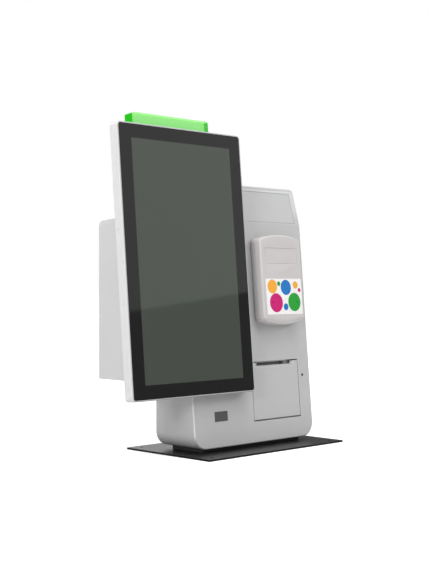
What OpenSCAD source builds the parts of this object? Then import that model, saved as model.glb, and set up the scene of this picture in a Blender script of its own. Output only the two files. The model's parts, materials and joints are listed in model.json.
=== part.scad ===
// Counter-top self-service kiosk: a leaning tower on a plinth and base plate, with a portrait touch
// display carried at its left, a card reader, a code scanner and a receipt printer behind a door.
// Origin: centre of the base plate's underside. +X is the viewer's right, +Y the back, +Z up.

/* [Base] */
// Width of the base plate
base_w = 412; // [390:1:460]
// Depth of the base plate
base_d = 248; // [236:1:300]
// Thickness of the base plate
base_t = 4; // [4:0.5:8]
// Corner radius of the base plate
base_r = 2.5; // [2:0.5:12]
// Spacing of the mounting holes across the plate
bolt_x = 362; // [340:1:372]
// Spacing of the mounting holes from front to back
bolt_y = 210; // [170:1:220]
// Diameter of the mounting holes
bolt_d = 7; // [5:0.5:9]
// Height of the plinth
plinth_h = 8; // [7:0.5:16]
// Setback of the plinth from the tower's sides
plinth_in_x = 34; // [32:1:40]
// Setback of the plinth from the tower's front and back
plinth_in_y = 15; // [12:1:16]

/* [Tower] */
// Width of the tower
body_w = 363; // [352:1:400]
// Depth of the tower at its foot
body_d = 120; // [118:1:140]
// Height of the tower
body_h = 547.5; // [540:0.5:600]
// Lean of the front, in degrees
lean = 5; // [4:0.5:6]
// Lean of the sign face, in degrees
sign_lean = 15; // [12:0.5:20]
// Height of the kink below the sign face, above the foot
kink_h = 464; // [462:1:480]
// Wall of the tower's shell
wall = 3; // [2.5:0.25:4]
// Radius of the tower's lower corners
foot_r = 32; // [24:1:40]
// Radius of the tower's upper corners and of its upper front edge
crown_r = 8; // [6:0.5:14]
// Thickness of the rear panel
panel_t = 2.5; // [2:0.25:4]
// Width of the lip that the rear panel sits on
lip_w = 12; // [10:0.5:14]
// Thickness of that lip
lip_t = 3; // [2.5:0.5:5]

/* [Sign] */
// Width of the blank sign plate
sign_w = 179; // [120:1:190]
// Height of the sign plate
sign_h = 69; // [50:1:70]
// Thickness of the sign plate
sign_t = 1.2; // [1:0.1:1.6]
// Middle of the sign plate from the tower's middle
sign_x = 75.5; // [60:0.5:80]
// Height of the sign plate above the kink
sign_z = 5.5; // [4:0.5:8]

/* [Side housing] */
// Width of the side housing
side_w = 151; // [146:1:170]
// Height of its underside above the tower's foot
side_z = 147; // [140:1:152]
// Height of the side housing at its back
side_h = 313; // [306:1:316]
// Radius of its upper outer edge
side_r = 10; // [5:0.5:12]
// Wall of the side housing
side_wall = 3; // [2.5:0.25:4]

/* [Display] */
// Width of the display's active area
active_w = 268; // [262:1:274]
// Height of the active area
active_h = 476.5; // [466:0.5:486]
// Printed border at the sides
margin_x = 30.5; // [24:0.5:36]
// Printed border at the top and bottom
margin_z = 27; // [22:0.5:32]
// Width of the frame's visible rim
rim = 3; // [2.5:0.25:5]
// Thickness of the display
display_t = 24; // [23:0.5:30]
// Gap between the tower's front and the display's back
display_gap = 6.5; // [6:0.25:9]
// Thickness of the touch glass
glass_t = 3; // [2:0.25:4]
// Thickness of the panel behind the glass
lcd_t = 9; // [7:0.5:9.5]
// Middle of the display from the tower's middle
display_x = -197; // [-204:1:-192]
// Height of the display's lower edge up the front
display_z = 109.5; // [104:0.5:112]
// Spacing of the display's four mounting screws
vesa = 100; // [75:25:100]
// Thickness of the display's mounting plate
bracket_t = 3; // [2:0.25:3.5]

/* [Light bar] */
// Width of the light bar
light_w = 208; // [160:0.5:240]
// Middle of the light bar from the display's middle
light_x = -1.8; // [-4:0.2:4]
// Depth of the light bar
light_d = 23; // [20:0.5:30]
// Height of the translucent bar
light_h = 38; // [34:0.5:44]
// Height of the light bar above the display
light_top = 28.5; // [20:0.5:30]
// Wall of the translucent bar round its board
light_wall = 2.5; // [2:0.25:3.5]
// Thickness of the plate that carries the light bar
light_plate_t = 1.5; // [1:0.25:2.5]

/* [Card reader] */
// Width of the reader
reader_w = 130; // [126:1:136]
// Height of the reader at its middle
reader_h = 194.5; // [188:0.5:200]
// Depth of the reader
reader_d = 30; // [26:0.5:36]
// Rise of its arched ends
reader_arch = 9.5; // [8:0.5:14]
// Radius of its corners
reader_r = 11; // [6:0.5:14]
// Middle of the reader from the tower's middle
reader_x = 79; // [72:0.5:84]
// Height of the reader's lower end up the front
reader_z = 245.5; // [238:0.5:250]
// Wall of the reader's case
reader_wall = 2.5; // [2:0.25:3.5]
// Thickness of the reader's back
reader_back_t = 4; // [3:0.25:5]
// Width of the reader's window
window_w = 99; // [80:0.5:104]
// Height of the reader's window
window_h = 33; // [28:0.5:38]
// Height of the window above the reader's lower end
window_z = 132; // [128:0.5:136]
// Width of the reader's label
label_w = 114; // [90:0.5:115]
// Height of the label
label_h = 77; // [60:0.5:84]
// Height of the label above the reader's lower end
label_z = 22.5; // [20:0.5:30]
// Middle of the label from the reader's middle
label_x = 2; // [-2:0.5:2]

/* [Printer door] */
// Width of the door's opening
door_w = 148.5; // [142:0.5:152]
// Height of the door's opening
door_h = 124.5; // [120:0.5:130]
// Thickness of the door
door_t = 6; // [5:0.5:7]
// Gap round the door
door_gap = 1.2; // [0.8:0.1:1.6]
// Extra gap above the door
head_gap = 1.2; // [0:0.1:1.6]
// Middle of the door from the tower's middle
door_x = 68.5; // [66:0.5:72]
// Height of the opening's lower edge up the front
door_z = 44.7; // [42:0.5:52]
// Depth of the jamb round the opening
jamb_d = 8; // [7:0.5:8.5]
// Wall of the jamb
jamb_t = 3; // [2.5:0.25:4]
// Width of the receipt scoop at the front
scoop_w = 120.5; // [100:0.5:126]
// Middle of the scoop from the door's middle
scoop_x = 0.8; // [-3:0.1:3]
// Height of the receipt scoop
scoop_h = 14.4; // [12:0.2:18]
// Bevel at each end of the scoop
scoop_bevel = 6.6; // [6:0.2:14]
// Height of the receipt slot
slot_h = 6.5; // [5.5:0.25:7]
// Diameter of the door's hinge pins
pin_d = 3; // [2:0.25:3.5]

/* [Door lock] */
// Diameter of the lock's spindle
lock_d = 6; // [5:0.25:7]
// Middle of the lock from the tower's middle
lock_x = 156.6; // [155:0.2:160]
// Height of the lock up the front
lock_z = 134.7; // [110:0.5:140]
// Reach of the lock's cam
cam_reach = 20; // [19.5:0.25:22]

/* [Printer] */
// Width of the paper roll
paper_w = 79.5; // [57:0.5:82]
// Space in front of and behind the full paper roll
roll_gap = 4.5; // [3:0.5:12]
// Diameter of the roll's core
core_d = 18; // [16:0.5:24]
// Diameter of the rod that carries the roll
rod_d = 12; // [8:0.5:13]
// Diameter of the platen
platen_d = 14; // [12:0.5:15]
// Diameter of the platen's shaft
shaft_d = 6; // [5:0.25:6.5]
// Space between the printer's side plates
bay_w = 90; // [88:0.5:92]
// Thickness of the side plates
plate_t = 2; // [1.5:0.25:2.5]
// Module of the gears
gear_m = 1; // [0.9:0.05:1.05]
// Width of the gears
gear_w = 6; // [4:0.5:8]
// Teeth of the platen's gear
platen_teeth = 22; // [18:2:24]
// Teeth of the idler
idler_teeth = 26; // [22:2:26]
// Teeth of the motor's pinion
pinion_teeth = 14; // [12:2:16]
// Width across the motor
motor_w = 35; // [28:0.5:36]
// Length of the motor
motor_l = 22; // [16:0.5:30]

/* [Code scanner] */
// Width of the scanner's window
scan_w = 37.5; // [30:0.5:44]
// Height of the scanner's window
scan_h = 20.2; // [16:0.2:26]
// Thickness of the scanner's window
scan_t = 1.5; // [1:0.25:2]
// Middle of the scanner from the tower's middle
scan_x = -103.6; // [-120:0.2:-90]
// Height of the window's lower edge up the front
scan_z = 53.2; // [48:0.2:60]
// Depth of the scanning module
scan_d = 26; // [20:0.5:30]

/* [Power and computing] */
// Width of the power supply
supply_w = 90; // [70:1:95]
// Space between the scanner's strap and the power supply
supply_gap = 2.5; // [2:0.5:12]
// Height of the power supply
supply_h = 50; // [36:1:60]
// Middle of the power inlet from the tower's middle
inlet_x = -25; // [-34:0.5:-16]
// Middle of the power inlet above the tower's foot
inlet_z = 36; // [34:0.5:48]
// Size across the fan
fan_w = 60; // [50:1:64]
// Thickness of the fan
fan_t = 15; // [14:0.5:20]
// Width of the main board
board_w = 115; // [104:1:124]
// Height of the main board
board_h = 180; // [170:1:190]

/* [Fits] */
// Radial clearance of a pin or screw in its hole
run = 0.05; // [0.02:0.01:0.1]
// Clearance of a seated piece in its seat
fit = 0.3; // [0.2:0.05:0.5]

/* [Hidden] */
$fn = 48;

// Overshoot of a cut past the face that it opens
cut = 1;
// Hair's gap between pieces that lie flat against each other on the leaning front
lie = 0.02;
// Steps of a rounded corner's arc
arc_steps = 10;

// Screw sizes: thread, and head as shares of the thread
m3 = 3;
m4 = 4;
head_wide = 2;
head_tall = 0.55;
socket_wide = 1;
hex_sides = 6;
function head_d(d) = head_wide*d;
function head_h(d) = head_tall*d;

// The tower's main levels and lines
z_foot = base_t + plinth_h;
z_floor = z_foot + wall;
z_top = z_foot + body_h;
z_kink = z_foot + kink_h;
y_foot = -body_d/2;
y_back = body_d/2;
y_kink = y_foot + kink_h*tan(lean);
y_panel = y_back - panel_t;
y_lip = y_panel - lip_t;
function front_y(z, inset) = y_foot + inset/cos(lean) + (z - z_foot)*tan(lean);
function sign_y(z, inset) = y_kink + inset/cos(sign_lean) + (z - z_kink)*tan(sign_lean);
function kink_at(inset) =
    z_kink + inset*(1/cos(lean) - 1/cos(sign_lean))/(tan(sign_lean) - tan(lean));

// The plinth and what fastens it
plinth_x = body_w/2 - plinth_in_x;
plinth_y = body_d/2 - plinth_in_y;
plinth_screw_in = [14, 9];
base_bite = 0.75;
floor_bite = 0.6;
base_screw_seat = head_h(m4) + fit;
base_screw_grip = base_t - base_screw_seat + base_bite*plinth_h;
base_screw_places = [for (x = [-1, 1], y = [-1, 1]) [x*(plinth_x - 2*plinth_screw_in[0]), y*plinth_y/4]];
floor_screw_grip = wall + floor_bite*plinth_h;
floor_screw_places = [for (x = [-1, 1], y = [-1, 1])
    [x*(plinth_x - plinth_screw_in[0]), y*(plinth_y - plinth_screw_in[1])]];
bolt_places = [for (x = [-1, 1], y = [-1, 1]) [x*bolt_x/2, y*bolt_y/2]];

// The rear panel's screws
rear_screw_x = body_w/2 - wall - lip_w/2;
rear_screw_in = 55;
rear_screw_zs = [z_foot + rear_screw_in, z_foot + body_h/2, z_top - rear_screw_in];
rear_screw_places = [for (x = [-1, 1], z = rear_screw_zs) [x*rear_screw_x, z]];

// The side housing, left of the tower
side_x1 = -body_w/2;
side_x0 = side_x1 - side_w;
side_z0 = z_foot + side_z;
side_z1 = side_z0 + side_h;
side_mid = (side_x0 + side_x1)/2;
side_s0 = side_z/cos(lean);
side_s1 = body_d*sin(lean) + (side_z + side_h)*cos(lean);
side_screw_ys = [0, 40];
side_screw_in = 46;
side_screw_places = [for (y = side_screw_ys, z = [side_z0 + side_screw_in, side_z1 - side_screw_in]) [y,
    z]];
cable_hole_d = 25;
cable_hole_y = 20;
cable_hole_z = side_z0 + side_h/2;

// The display, in the frame of the tower's leaning front: x, depth behind the front, height up it
glass_w = active_w + 2*margin_x;
glass_h = active_h + 2*margin_z;
frame_w = glass_w + 2*rim;
frame_h = glass_h + 2*rim;
display_mid = display_z + frame_h/2;
y_glass = -display_gap - display_t;
y_ledge = y_glass + glass_t;
frame_r = 8;
ledge_w = 6;
ledge_t = 2.5;
frame_wall = 5;
cover_t = 2;
cover_wall = 3;
boss_d = 10;
boss_h = 6;
vesa_places = [for (x = [-1, 1], z = [-1, 1]) [display_x + x*vesa/2, display_mid + z*vesa/2]];
bracket_x0 = side_x0 + side_wall/2;
bracket_short = 40;
bracket_x1 = display_x + frame_w/2 - bracket_short;
bracket_z0 = side_s0 + side_wall/2;
bracket_z1 = side_s1 - side_wall/2;
bracket_screw_in = 14;
bracket_post_d = 12;
bracket_post_l = 16;
body_screw_xs = [side_x1 + wall + bracket_screw_in, bracket_x1 - bracket_screw_in];
bracket_screw_zs = [bracket_z0 + bracket_screw_in, bracket_z1 - bracket_screw_in];
post_x = side_x0 + side_wall/2 + bracket_post_d/2;
bracket_screw_places = [for (x = concat(body_screw_xs, [post_x]), z = bracket_screw_zs) [x, z]];
screw_past = 3;
bracket_screw_grip = bracket_t + wall + screw_past;

// The light bar, behind the display's upper edge
light_mid = display_x + light_x;
light_z1 = display_z + frame_h + light_top;
light_z0 = light_z1 - light_h;
light_base_h = 18;
light_y0 = -display_gap + light_plate_t;
light_y1 = light_y0 + light_d;
light_spigot_h = 4;
light_board_t = 1.6;
light_plate_w = 0.6*light_w;
light_plate_h = 90;
light_leds = 12;
light_screw_xs = [light_mid - light_plate_w/3, light_mid + light_plate_w/3];
light_screw_z = light_z0 - light_base_h/2;
light_screw_in = 20;
light_cover_screw_z = light_z0 - light_plate_h + light_screw_in;

// The card reader
reader_half = reader_w/2;
reader_arc_r = (pow(reader_half, 2) + pow(reader_arch, 2))/(2*reader_arch);
reader_mid = reader_z + reader_h/2;
reader_screw_in = [20, 40];
reader_screw_bite = 7;
reader_screw_places = [for (x = [-1, 1], z = [-1, 1])
    [reader_x + x*(reader_half - reader_screw_in[0]), reader_mid + z*(reader_h/2 - reader_screw_in[1])]];
reader_boss_d = 8;
reader_screw_grip = wall + reader_back_t + reader_screw_bite;
reader_rim_t = 2;
reader_rim_h = 5;
reader_inset_t = 1.2;
reader_post_d = 6;
reader_board_in = 12.5;
reader_board_y = -reader_back_t - reader_board_in;
reader_board_t = 1.6;

// The door and its receipt slot
door_x0 = door_x - door_w/2 + door_gap;
door_x1 = door_x + door_w/2 - door_gap;
door_z0 = door_z + door_gap;
door_z1 = door_z + door_h - door_gap;
hinge_y = door_t/2;
hinge_z = door_z0 + door_t/2;
pin_seat = 9;
door_skin = 3;
door_rim = 9;
scoop_z0 = door_z1 - scoop_h;
slot_z0 = door_z1 - slot_h;
lug_t = 3;
lug_h = 10;
lug_in = 12;
lug_x0 = door_x1 - lug_in;
lug_lip = 9;

// The lock: spindle, collar and cam, with the cam between the door and its lug's lip
barrel_d = 14;
barrel_l = 6;
collar_lip = 1.5;
collar_d = lock_d + 2*collar_lip;
collar_t = 1.5;
cam_t = 2;
cam_w = 9;
cam_y = wall + barrel_l + fit;
lug_room = 1;
lug_y = cam_y + cam_t + lug_room;
lock_face = 0.8;
hex_d = 3;

// The printer: the paper leaves level with the middle of the slot
paper_z = z_foot + (slot_z0 + slot_h/2)*cos(lean);
bay_x0 = door_x - bay_w/2;
bay_x1 = door_x + bay_w/2;
plate_x1 = bay_x1 + plate_t;
plate_x0 = bay_x0 - plate_t;
printer_room = 2.5;
printer_y0 = front_y(paper_z, 0) + jamb_d + printer_room;
printer_y1 = y_lip - printer_room;
printer_rise = 18;
printer_z1 = paper_z + printer_rise;
platen_in = 20;
platen_y = printer_y0 + platen_in;
platen_z = paper_z - platen_d/2;
// The gear train: the motor lies level behind the platen, and the idler hangs below both
motor_back = 33;
train_a = pitch_r(platen_teeth) + pitch_r(idler_teeth);
train_b = pitch_r(idler_teeth) + pitch_r(pinion_teeth);
idler_dir = -acos((pow(train_a, 2) + pow(motor_back, 2) - pow(train_b, 2))/(2*train_a*motor_back));
idler_y = platen_y + train_a*cos(idler_dir);
idler_z = platen_z + train_a*sin(idler_dir);
pinion_y = platen_y + motor_back;
pinion_dir = atan2(platen_z - idler_z, pinion_y - idler_y);
// The turn that puts a gear's tooth gap on the tooth of the gear before it
function mesh_turn(dir, turn, teeth, next) = dir + 180 + ((dir - turn)*teeth/360 + 1/2)*360/next;
idler_turn = mesh_turn(idler_dir, 0, platen_teeth, idler_teeth);
pinion_turn = mesh_turn(pinion_dir, idler_turn, idler_teeth, pinion_teeth);
gear_x0 = plate_x1 + 1;
gear_x1 = gear_x0 + gear_w;
// The guard in front of the gears, seen at the end of the receipt's slot
guard_x1 = gear_x1 + 2*plate_t;
guard_below = 14;
backlash = 0.1;
idler_pin_d = 4;
motor_shaft_d = 5;
roll_d = printer_y1 - plate_t - printer_y0 - 2*roll_gap;
roll_below = 16;
roll_y = printer_y0 + roll_gap + roll_d/2;
roll_z = platen_z - platen_d/2 - roll_below - roll_d/2;
rod_lip = 2;
rod_head_d = rod_d + 2*rod_lip;
rod_head_t = 3;
head_half = 9;
head_y0 = platen_y - head_half;
head_y1 = platen_y + head_half;
head_z0 = paper_z + fit;
head_z1 = printer_z1 - plate_t;
cutter_room = 1;
cutter_rise = 2.5;
cutter_y0 = printer_y0 + cutter_room;
cutter_y1 = head_y0 - cutter_room;
cutter_z0 = paper_z + cutter_rise;
cutter_z1 = printer_z1 - cutter_room;
blade_t = 1.5;
printer_screw_in = 12;
printer_floor_screws = [for (x = [bay_x0 + printer_screw_in, bay_x1 - printer_screw_in],
    y = [printer_y0 + printer_screw_in, printer_y1 - printer_screw_in]) [x, y]];

// The power supply on the tower's floor, behind the scanner's strap
scan_strap_t = 1.5;
supply_foot = 12;
supply_foot_t = 2;
supply_room = 1;
supply_x0 = -body_w/2 + foot_r + supply_foot + supply_room;
supply_x1 = supply_x0 + supply_w;
supply_y1 = plinth_y - plinth_screw_in[1] - head_d(m4)/2 - supply_room;
scan_back = y_foot + (wall + scan_d + fit + scan_strap_t)*cos(lean) + (scan_z + scan_h)*sin(lean);
supply_y0 = scan_back + supply_gap;
supply_mid = (supply_y0 + supply_y1)/2;
supply_screws = [for (x = [supply_x0 - supply_foot/2, supply_x1 + supply_foot/2]) [x, supply_mid]];

// The power inlet with its rocker, in the rear panel
inlet_w = 30;
inlet_below = 12;
inlet_tall = 46;
inlet_z0 = z_foot + inlet_z - inlet_below;
inlet_z1 = inlet_z0 + inlet_tall;
inlet_deep = 22;
inlet_flange = 2;
inlet_y1 = y_back + inlet_flange;
socket_w = 24;
socket_h = 16;
socket_deep = 14;
socket_mid = z_foot + inlet_z;
pin_w = 2;
pin_h = 4;
pin_l = 10;
rocker_down = 12;
rocker_in = 6;
rocker_mid = inlet_z1 - rocker_down;
rocker_y = inlet_y1 - rocker_in;
rocker_w = 12.4;
rocker_half = 9;
rocker_rise = 6;
rocker_tilt = 8;
rocker_pin_d = 3;
rocker_room = 1.5;

// The main board, its heat sink, connectors and fan, on the side housing's back wall
side_back = y_back - side_wall;
board_t = 1.6;
board_post_d = 6;
board_post_l = 6.5;
board_y1 = side_back - board_post_l;
board_y0 = board_y1 - board_t;
board_rise = 24;
board_z0 = side_z0 + board_rise;
board_x0 = side_mid - board_w/2;
board_x1 = side_mid + board_w/2;
sink_w = 56;
sink_fins = 9;
sink_base = 4;
sink_tall = 22;
sink_fin_t = 1.6;
sink_down = 16;
sink_z = board_z0 + board_h - sink_w - sink_down;
io_w = 78;
io_d = 17;
port_deep = 12;
fan_x = side_mid;
fan_down = 12;
fan_z = side_z1 - side_wall - fan_down - fan_w/2;
fan_y0 = side_back - fan_t;
fan_rim = 2;
fan_bore = fan_w - 2*fan_rim;
hub_d = 24;
fan_pin_d = 3;
fan_strut = 3;
fan_blades = 7;
blade_pitch = 35;
fan_blade_t = 1.2;
fan_room = 1.5;
vent_w = 50;
vent_h = 3;
vent_step = 7;
vent_pitch = 75;
vent_down = 90;
upper_vents = 9;
lower_vents = 7;

// Small sizes of the light bar, reader, scanner and connectors
light_in_w = light_w - 2*light_wall - 2*fit;
light_r = 6;
led_w = 4;
led_h = 1.5;
led_room = 1;
light_hollow = light_spigot_h + light_board_t + led_h + led_room;
reader_shadow = 0.6;
reader_skin = 3;
reader_inset_r = 3;
label_t = 0.4;
reader_post_x = 30;
reader_post_z = 34;
motor_r = 4;
blade_in = 4;
scan_body_w = 32;
scan_eye_d = 12;
scan_strap_h = 10;
scan_ear = 9;
scan_strap_x = scan_body_w/2 + fit + scan_strap_t + scan_ear/2;
scan_screw_grip = scan_strap_t + wall - scan_t;
lcd_edge = 6;
display_board_in = 5;
display_board_y = -display_gap - cover_t - display_board_in;
display_board_up = 120;
display_board_z = display_z + display_board_up;
display_post_x = 50;
display_post_z = 25;
display_chips = 4;
main_chips = 5;
chip_tall = 0.2;
board_edge = 10;
bracket_boss_d = boss_d + 6;
light_board_d = 12;
head_fins = 12;
pin_pitch = 7;
pin_drop = 2;
io_bond = 12;
// Sockets: place along the row, width, and size from front to back
ports = [[-28, 12, 9], [-8, 13, 6], [8, 13, 6], [28, 9, 9]];

// A round stretch of an outline, and an outline with rounded lower and upper corners
function arc(c, r, from, to) =
    [for (i = [0:arc_steps]) let (a = from + (to - from)*i/arc_steps) c + r*[cos(a), sin(a)]];
function round_box(lo, hi, r_lo, r_hi) = concat(
    arc([lo[0] + r_lo, lo[1] + r_lo], r_lo, 180, 270),
    arc([hi[0] - r_lo, lo[1] + r_lo], r_lo, 270, 360),
    arc([hi[0] - r_hi, hi[1] - r_hi], r_hi, 0, 90),
    arc([lo[0] + r_hi, hi[1] - r_hi], r_hi, 90, 180));

// The tower's outline from the front and from the side, inset evenly
function tower_front(inset) = round_box([-body_w/2 + inset, z_foot + inset],
    [body_w/2 - inset, z_top - inset],
    foot_r - inset, max(crown_r - inset, 1));
function tower_side(inset, back) = concat(
    [[front_y(z_foot + inset, inset), z_foot + inset], [front_y(kink_at(inset), inset), kink_at(inset)]],
    arc([sign_y(z_top - crown_r, crown_r), z_top - crown_r], max(crown_r - inset, 1), 180 - sign_lean, 90),
    [[back, z_top - inset], [back, z_foot + inset]]);

// The side housing's outline up the leaning front, open downwards: only its upper outer edge is rounded
function side_front(inset) = concat(
    [[side_x0 + inset, 0], [side_x1 - inset, 0], [side_x1 - inset, side_s1 - inset]],
    arc([side_x0 + side_r, side_s1 - side_r], side_r - inset, 90, 180));

// The reader's outline: straight sides, arched ends and round corners, inset evenly
reader_fillet_z = sqrt(pow(reader_arc_r - reader_r, 2) - pow(reader_half - reader_r, 2));
reader_fillet_a = atan2(reader_fillet_z, reader_half - reader_r);
function reader_end(inset,
    up) = let (z = up > 0 ? reader_z + reader_h - reader_arc_r : reader_z + reader_arc_r)
    concat(
        arc([reader_x + up*(reader_half - reader_r), z + up*reader_fillet_z], reader_r - inset,
            up > 0 ? 0 : 180, (up > 0 ? 0 : 180) + reader_fillet_a),
        arc([reader_x, z], reader_arc_r - inset, (up > 0 ? 0 : 180) + reader_fillet_a,
            (up > 0 ? 180 : 360) - reader_fillet_a),
        arc([reader_x - up*(reader_half - reader_r), z + up*reader_fillet_z], reader_r - inset,
            (up > 0 ? 180 : 360) - reader_fillet_a, up > 0 ? 180 : 360));
function reader_outline(inset) = concat(reader_end(inset, 1), reader_end(inset, -1));

// An involute gear's outline, with the first tooth's middle along the first axis
pressure = 20;
flank_steps = 5;
function pitch_r(teeth) = gear_m*teeth/2;
function involute(r, base) = r <= base ? 0 : sqrt(pow(r/base, 2) - 1)*180/PI - acos(base/r);
function tooth_half(teeth, r) = let (base = pitch_r(teeth)*cos(pressure))
    90/teeth - backlash/pitch_r(teeth)*180/PI + involute(pitch_r(teeth), base) - involute(r, base);
function flank_r(teeth, i) = pitch_r(teeth) - 1.25*gear_m + 2.2*gear_m*i/flank_steps;
function gear_outline(teeth) = [for (k = [0:teeth - 1], side = [-1, 1], i = [0:flank_steps])
    let (r = flank_r(teeth, side < 0 ? i : flank_steps - i), a = k*360/teeth + side*tooth_half(teeth, r))
    r*[cos(a), sin(a)]];

// Frames of the leaning front and of the sign face: x, depth behind the face, height up it
module at_front() {
    translate([0, y_foot, z_foot]) rotate([-lean, 0, 0]) children();
}
module at_sign() {
    translate([0, y_kink, z_kink]) rotate([-sign_lean, 0, 0]) children();
}

// Plain solids: a block between two corners, outlines drawn out, and rods along each axis
module block(lo, hi) {
    translate(lo) cube(hi - lo);
}
module slab(outline, y0, y1) {
    translate([0, y1, 0]) rotate([90, 0, 0]) linear_extrude(y1 - y0) polygon(outline);
}
module prism(outline, x0, x1) {
    translate([x0, 0, 0]) rotate([90, 0, 90]) linear_extrude(x1 - x0) polygon(outline);
}
module rod_x(d, y, z, x0, x1) {
    translate([x0, y, z]) rotate([0, 90, 0]) cylinder(d = d, h = x1 - x0);
}
module rod_y(d, x, z, y0, y1) {
    translate([x, y0, z]) rotate([-90, 0, 0]) cylinder(d = d, h = y1 - y0);
}
module rod_z(d, x, y, z0, z1) {
    translate([x, y, z0]) cylinder(d = d, h = z1 - z0);
}

// A socket-head screw whose head lies on the plane z = 0, and the hole for its thread
module screw(d, grip) {
    difference() {
        union() {
            cylinder(d = head_d(d), h = head_h(d));
            translate([0, 0, -grip]) cylinder(d = d, h = grip + head_h(d)/2);
        }
        translate([0, 0, head_h(d)/2]) cylinder(d = socket_wide*d, h = head_h(d), $fn = hex_sides);
    }
}
module screw_hole(d, depth) {
    translate([0, 0, -depth - fit]) cylinder(d = d + 2*run, h = depth + fit + cut);
}
module head_front(x, y, z) {
    translate([x, y, z]) rotate([90, 0, 0]) children();
}
module head_back(x, y, z) {
    translate([x, y, z]) rotate([-90, 0, 0]) children();
}

// A circuit board standing across the depth, with a row of chips on its front
module upright_board(lo, hi, chips) {
    block(lo, hi);
    chip_w = (hi[0] - lo[0])/(2*chips + 1);
    for (i = [0:chips - 1]) {
        x = lo[0] + (2*i + 1)*chip_w;
        z = (lo[2] + hi[2])/2;
        block([x, lo[1] - chip_tall*chip_w, z - chip_w/2], [x + chip_w, lo[1] + cut/2, z + chip_w/2]);
    }
}

module base_plate() {
    color([0.11, 0.11, 0.12]) difference() {
        linear_extrude(base_t)
            polygon(round_box([-base_w/2, -base_d/2], [base_w/2, base_d/2], base_r, base_r));
        for (p = bolt_places) rod_z(bolt_d, p[0], p[1], -cut, base_t + cut);
        for (p = base_screw_places) {
            rod_z(m4 + 2*run, p[0], p[1], -cut, base_t + cut);
            rod_z(head_d(m4) + 2*fit, p[0], p[1], -cut, base_screw_seat);
        }
    }
}

module base_screws() {
    color("dimgray") for (p = base_screw_places)
        translate([p[0], p[1], base_screw_seat]) rotate([180, 0, 0]) screw(m4, base_screw_grip);
}

module plinth() {
    color([0.06, 0.06, 0.06]) difference() {
        block([-plinth_x, -plinth_y, base_t], [plinth_x, plinth_y, z_foot]);
        for (p = base_screw_places)
            translate([p[0], p[1], base_screw_seat]) rotate([180, 0, 0]) screw_hole(m4, base_screw_grip);
        for (p = floor_screw_places) translate([p[0], p[1], z_floor]) screw_hole(m4, floor_screw_grip);
    }
}

module tower_solid(inset, back) {
    intersection() {
        prism(tower_side(inset, back), -body_w, body_w);
        slab(tower_front(inset), -2*body_d, 2*body_d);
    }
}

// Cuts through the tower's front: door, scanner, lock, reader's and display's screws
module front_cuts() {
    at_front() {
        block([door_x - door_w/2, -cut, door_z],
            [door_x + door_w/2, jamb_d + cut, door_z + door_h + head_gap]);
        block([scan_x - scan_w/2 - fit, -cut, scan_z - fit],
            [scan_x + scan_w/2 + fit, scan_t, scan_z + scan_h + fit]);
        block([scan_x - scan_w/2 + 2, -cut, scan_z + 2],
            [scan_x + scan_w/2 - 2, wall + cut, scan_z + scan_h - 2]);
        rod_x(pin_d + 2*run, hinge_y, hinge_z, door_x - door_w/2 - jamb_t - cut,
            door_x + door_w/2 + jamb_t + cut);
        rod_y(lock_d + 2*fit, lock_x, lock_z, -cut, wall + cut);
        for (p = reader_screw_places) head_back(p[0], wall, p[1]) screw_hole(m3, reader_screw_grip);
        for (p = bracket_screw_places) head_front(p[0], -bracket_t, p[1])
            screw_hole(m4, bracket_screw_grip);
        for (p = vesa_places) rod_y(head_d(m4) + 4*fit, p[0], p[1], -cut, wall + cut);
        for (x = [-1, 1]) head_back(scan_x + x*scan_strap_x, wall + scan_strap_t, scan_z + scan_h/2)
            screw_hole(m3, scan_screw_grip);
    }
    at_sign() block([sign_x - sign_w/2 - fit, -cut, sign_z - fit],
        [sign_x + sign_w/2 + fit, sign_t + fit, sign_z + sign_h + fit]);
}

// The jamb round the door's opening
module door_jamb() {
    at_front() block([door_x - door_w/2 - jamb_t, wall/2, door_z - jamb_t],
        [door_x + door_w/2 + jamb_t, jamb_d, door_z + door_h + head_gap + jamb_t]);
}

module body_shell() {
    color([0.76, 0.77, 0.79]) difference() {
        union() {
            difference() {
                tower_solid(0, y_back);
                tower_solid(wall, y_back + cut);
            }
            difference() {
                slab(tower_front(wall/2), y_lip, y_panel);
                slab(tower_front(wall + lip_w), y_lip - cut, y_panel + cut);
            }
            door_jamb();
        }
        front_cuts();
        for (p = concat(floor_screw_places, printer_floor_screws, supply_screws))
            translate([p[0], p[1], z_floor]) screw_hole(m4, wall - fit);
        for (p = rear_screw_places) head_back(p[0], y_back, p[1]) screw_hole(m3, panel_t + lip_t);
        for (p = side_screw_places) rod_x(m4 + 2*run, p[0], p[1], side_x1 - cut, side_x1 + wall + cut);
        rod_x(cable_hole_d, cable_hole_y, cable_hole_z, side_x1 - cut, side_x1 + wall + cut);
    }
}

module floor_screws() {
    color("silver") {
        for (p = floor_screw_places) translate([p[0], p[1], z_floor]) screw(m4, floor_screw_grip);
        for (p = printer_floor_screws) translate([p[0], p[1], z_floor + plate_t])
            screw(m4, plate_t + wall - fit);
        for (p = supply_screws) translate([p[0], p[1], z_floor + supply_foot_t])
            screw(m4, supply_foot_t + wall - fit);
    }
}

// Rows of slots through a wall, centred on a place
module vents(x, z, rows, y0, y1) {
    for (i = [0:rows - 1]) {
        mid = z + (i - (rows - 1)/2)*vent_step;
        block([x - vent_w/2, y0 - cut, mid - vent_h/2], [x + vent_w/2, y1 + cut, mid + vent_h/2]);
    }
}

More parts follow.
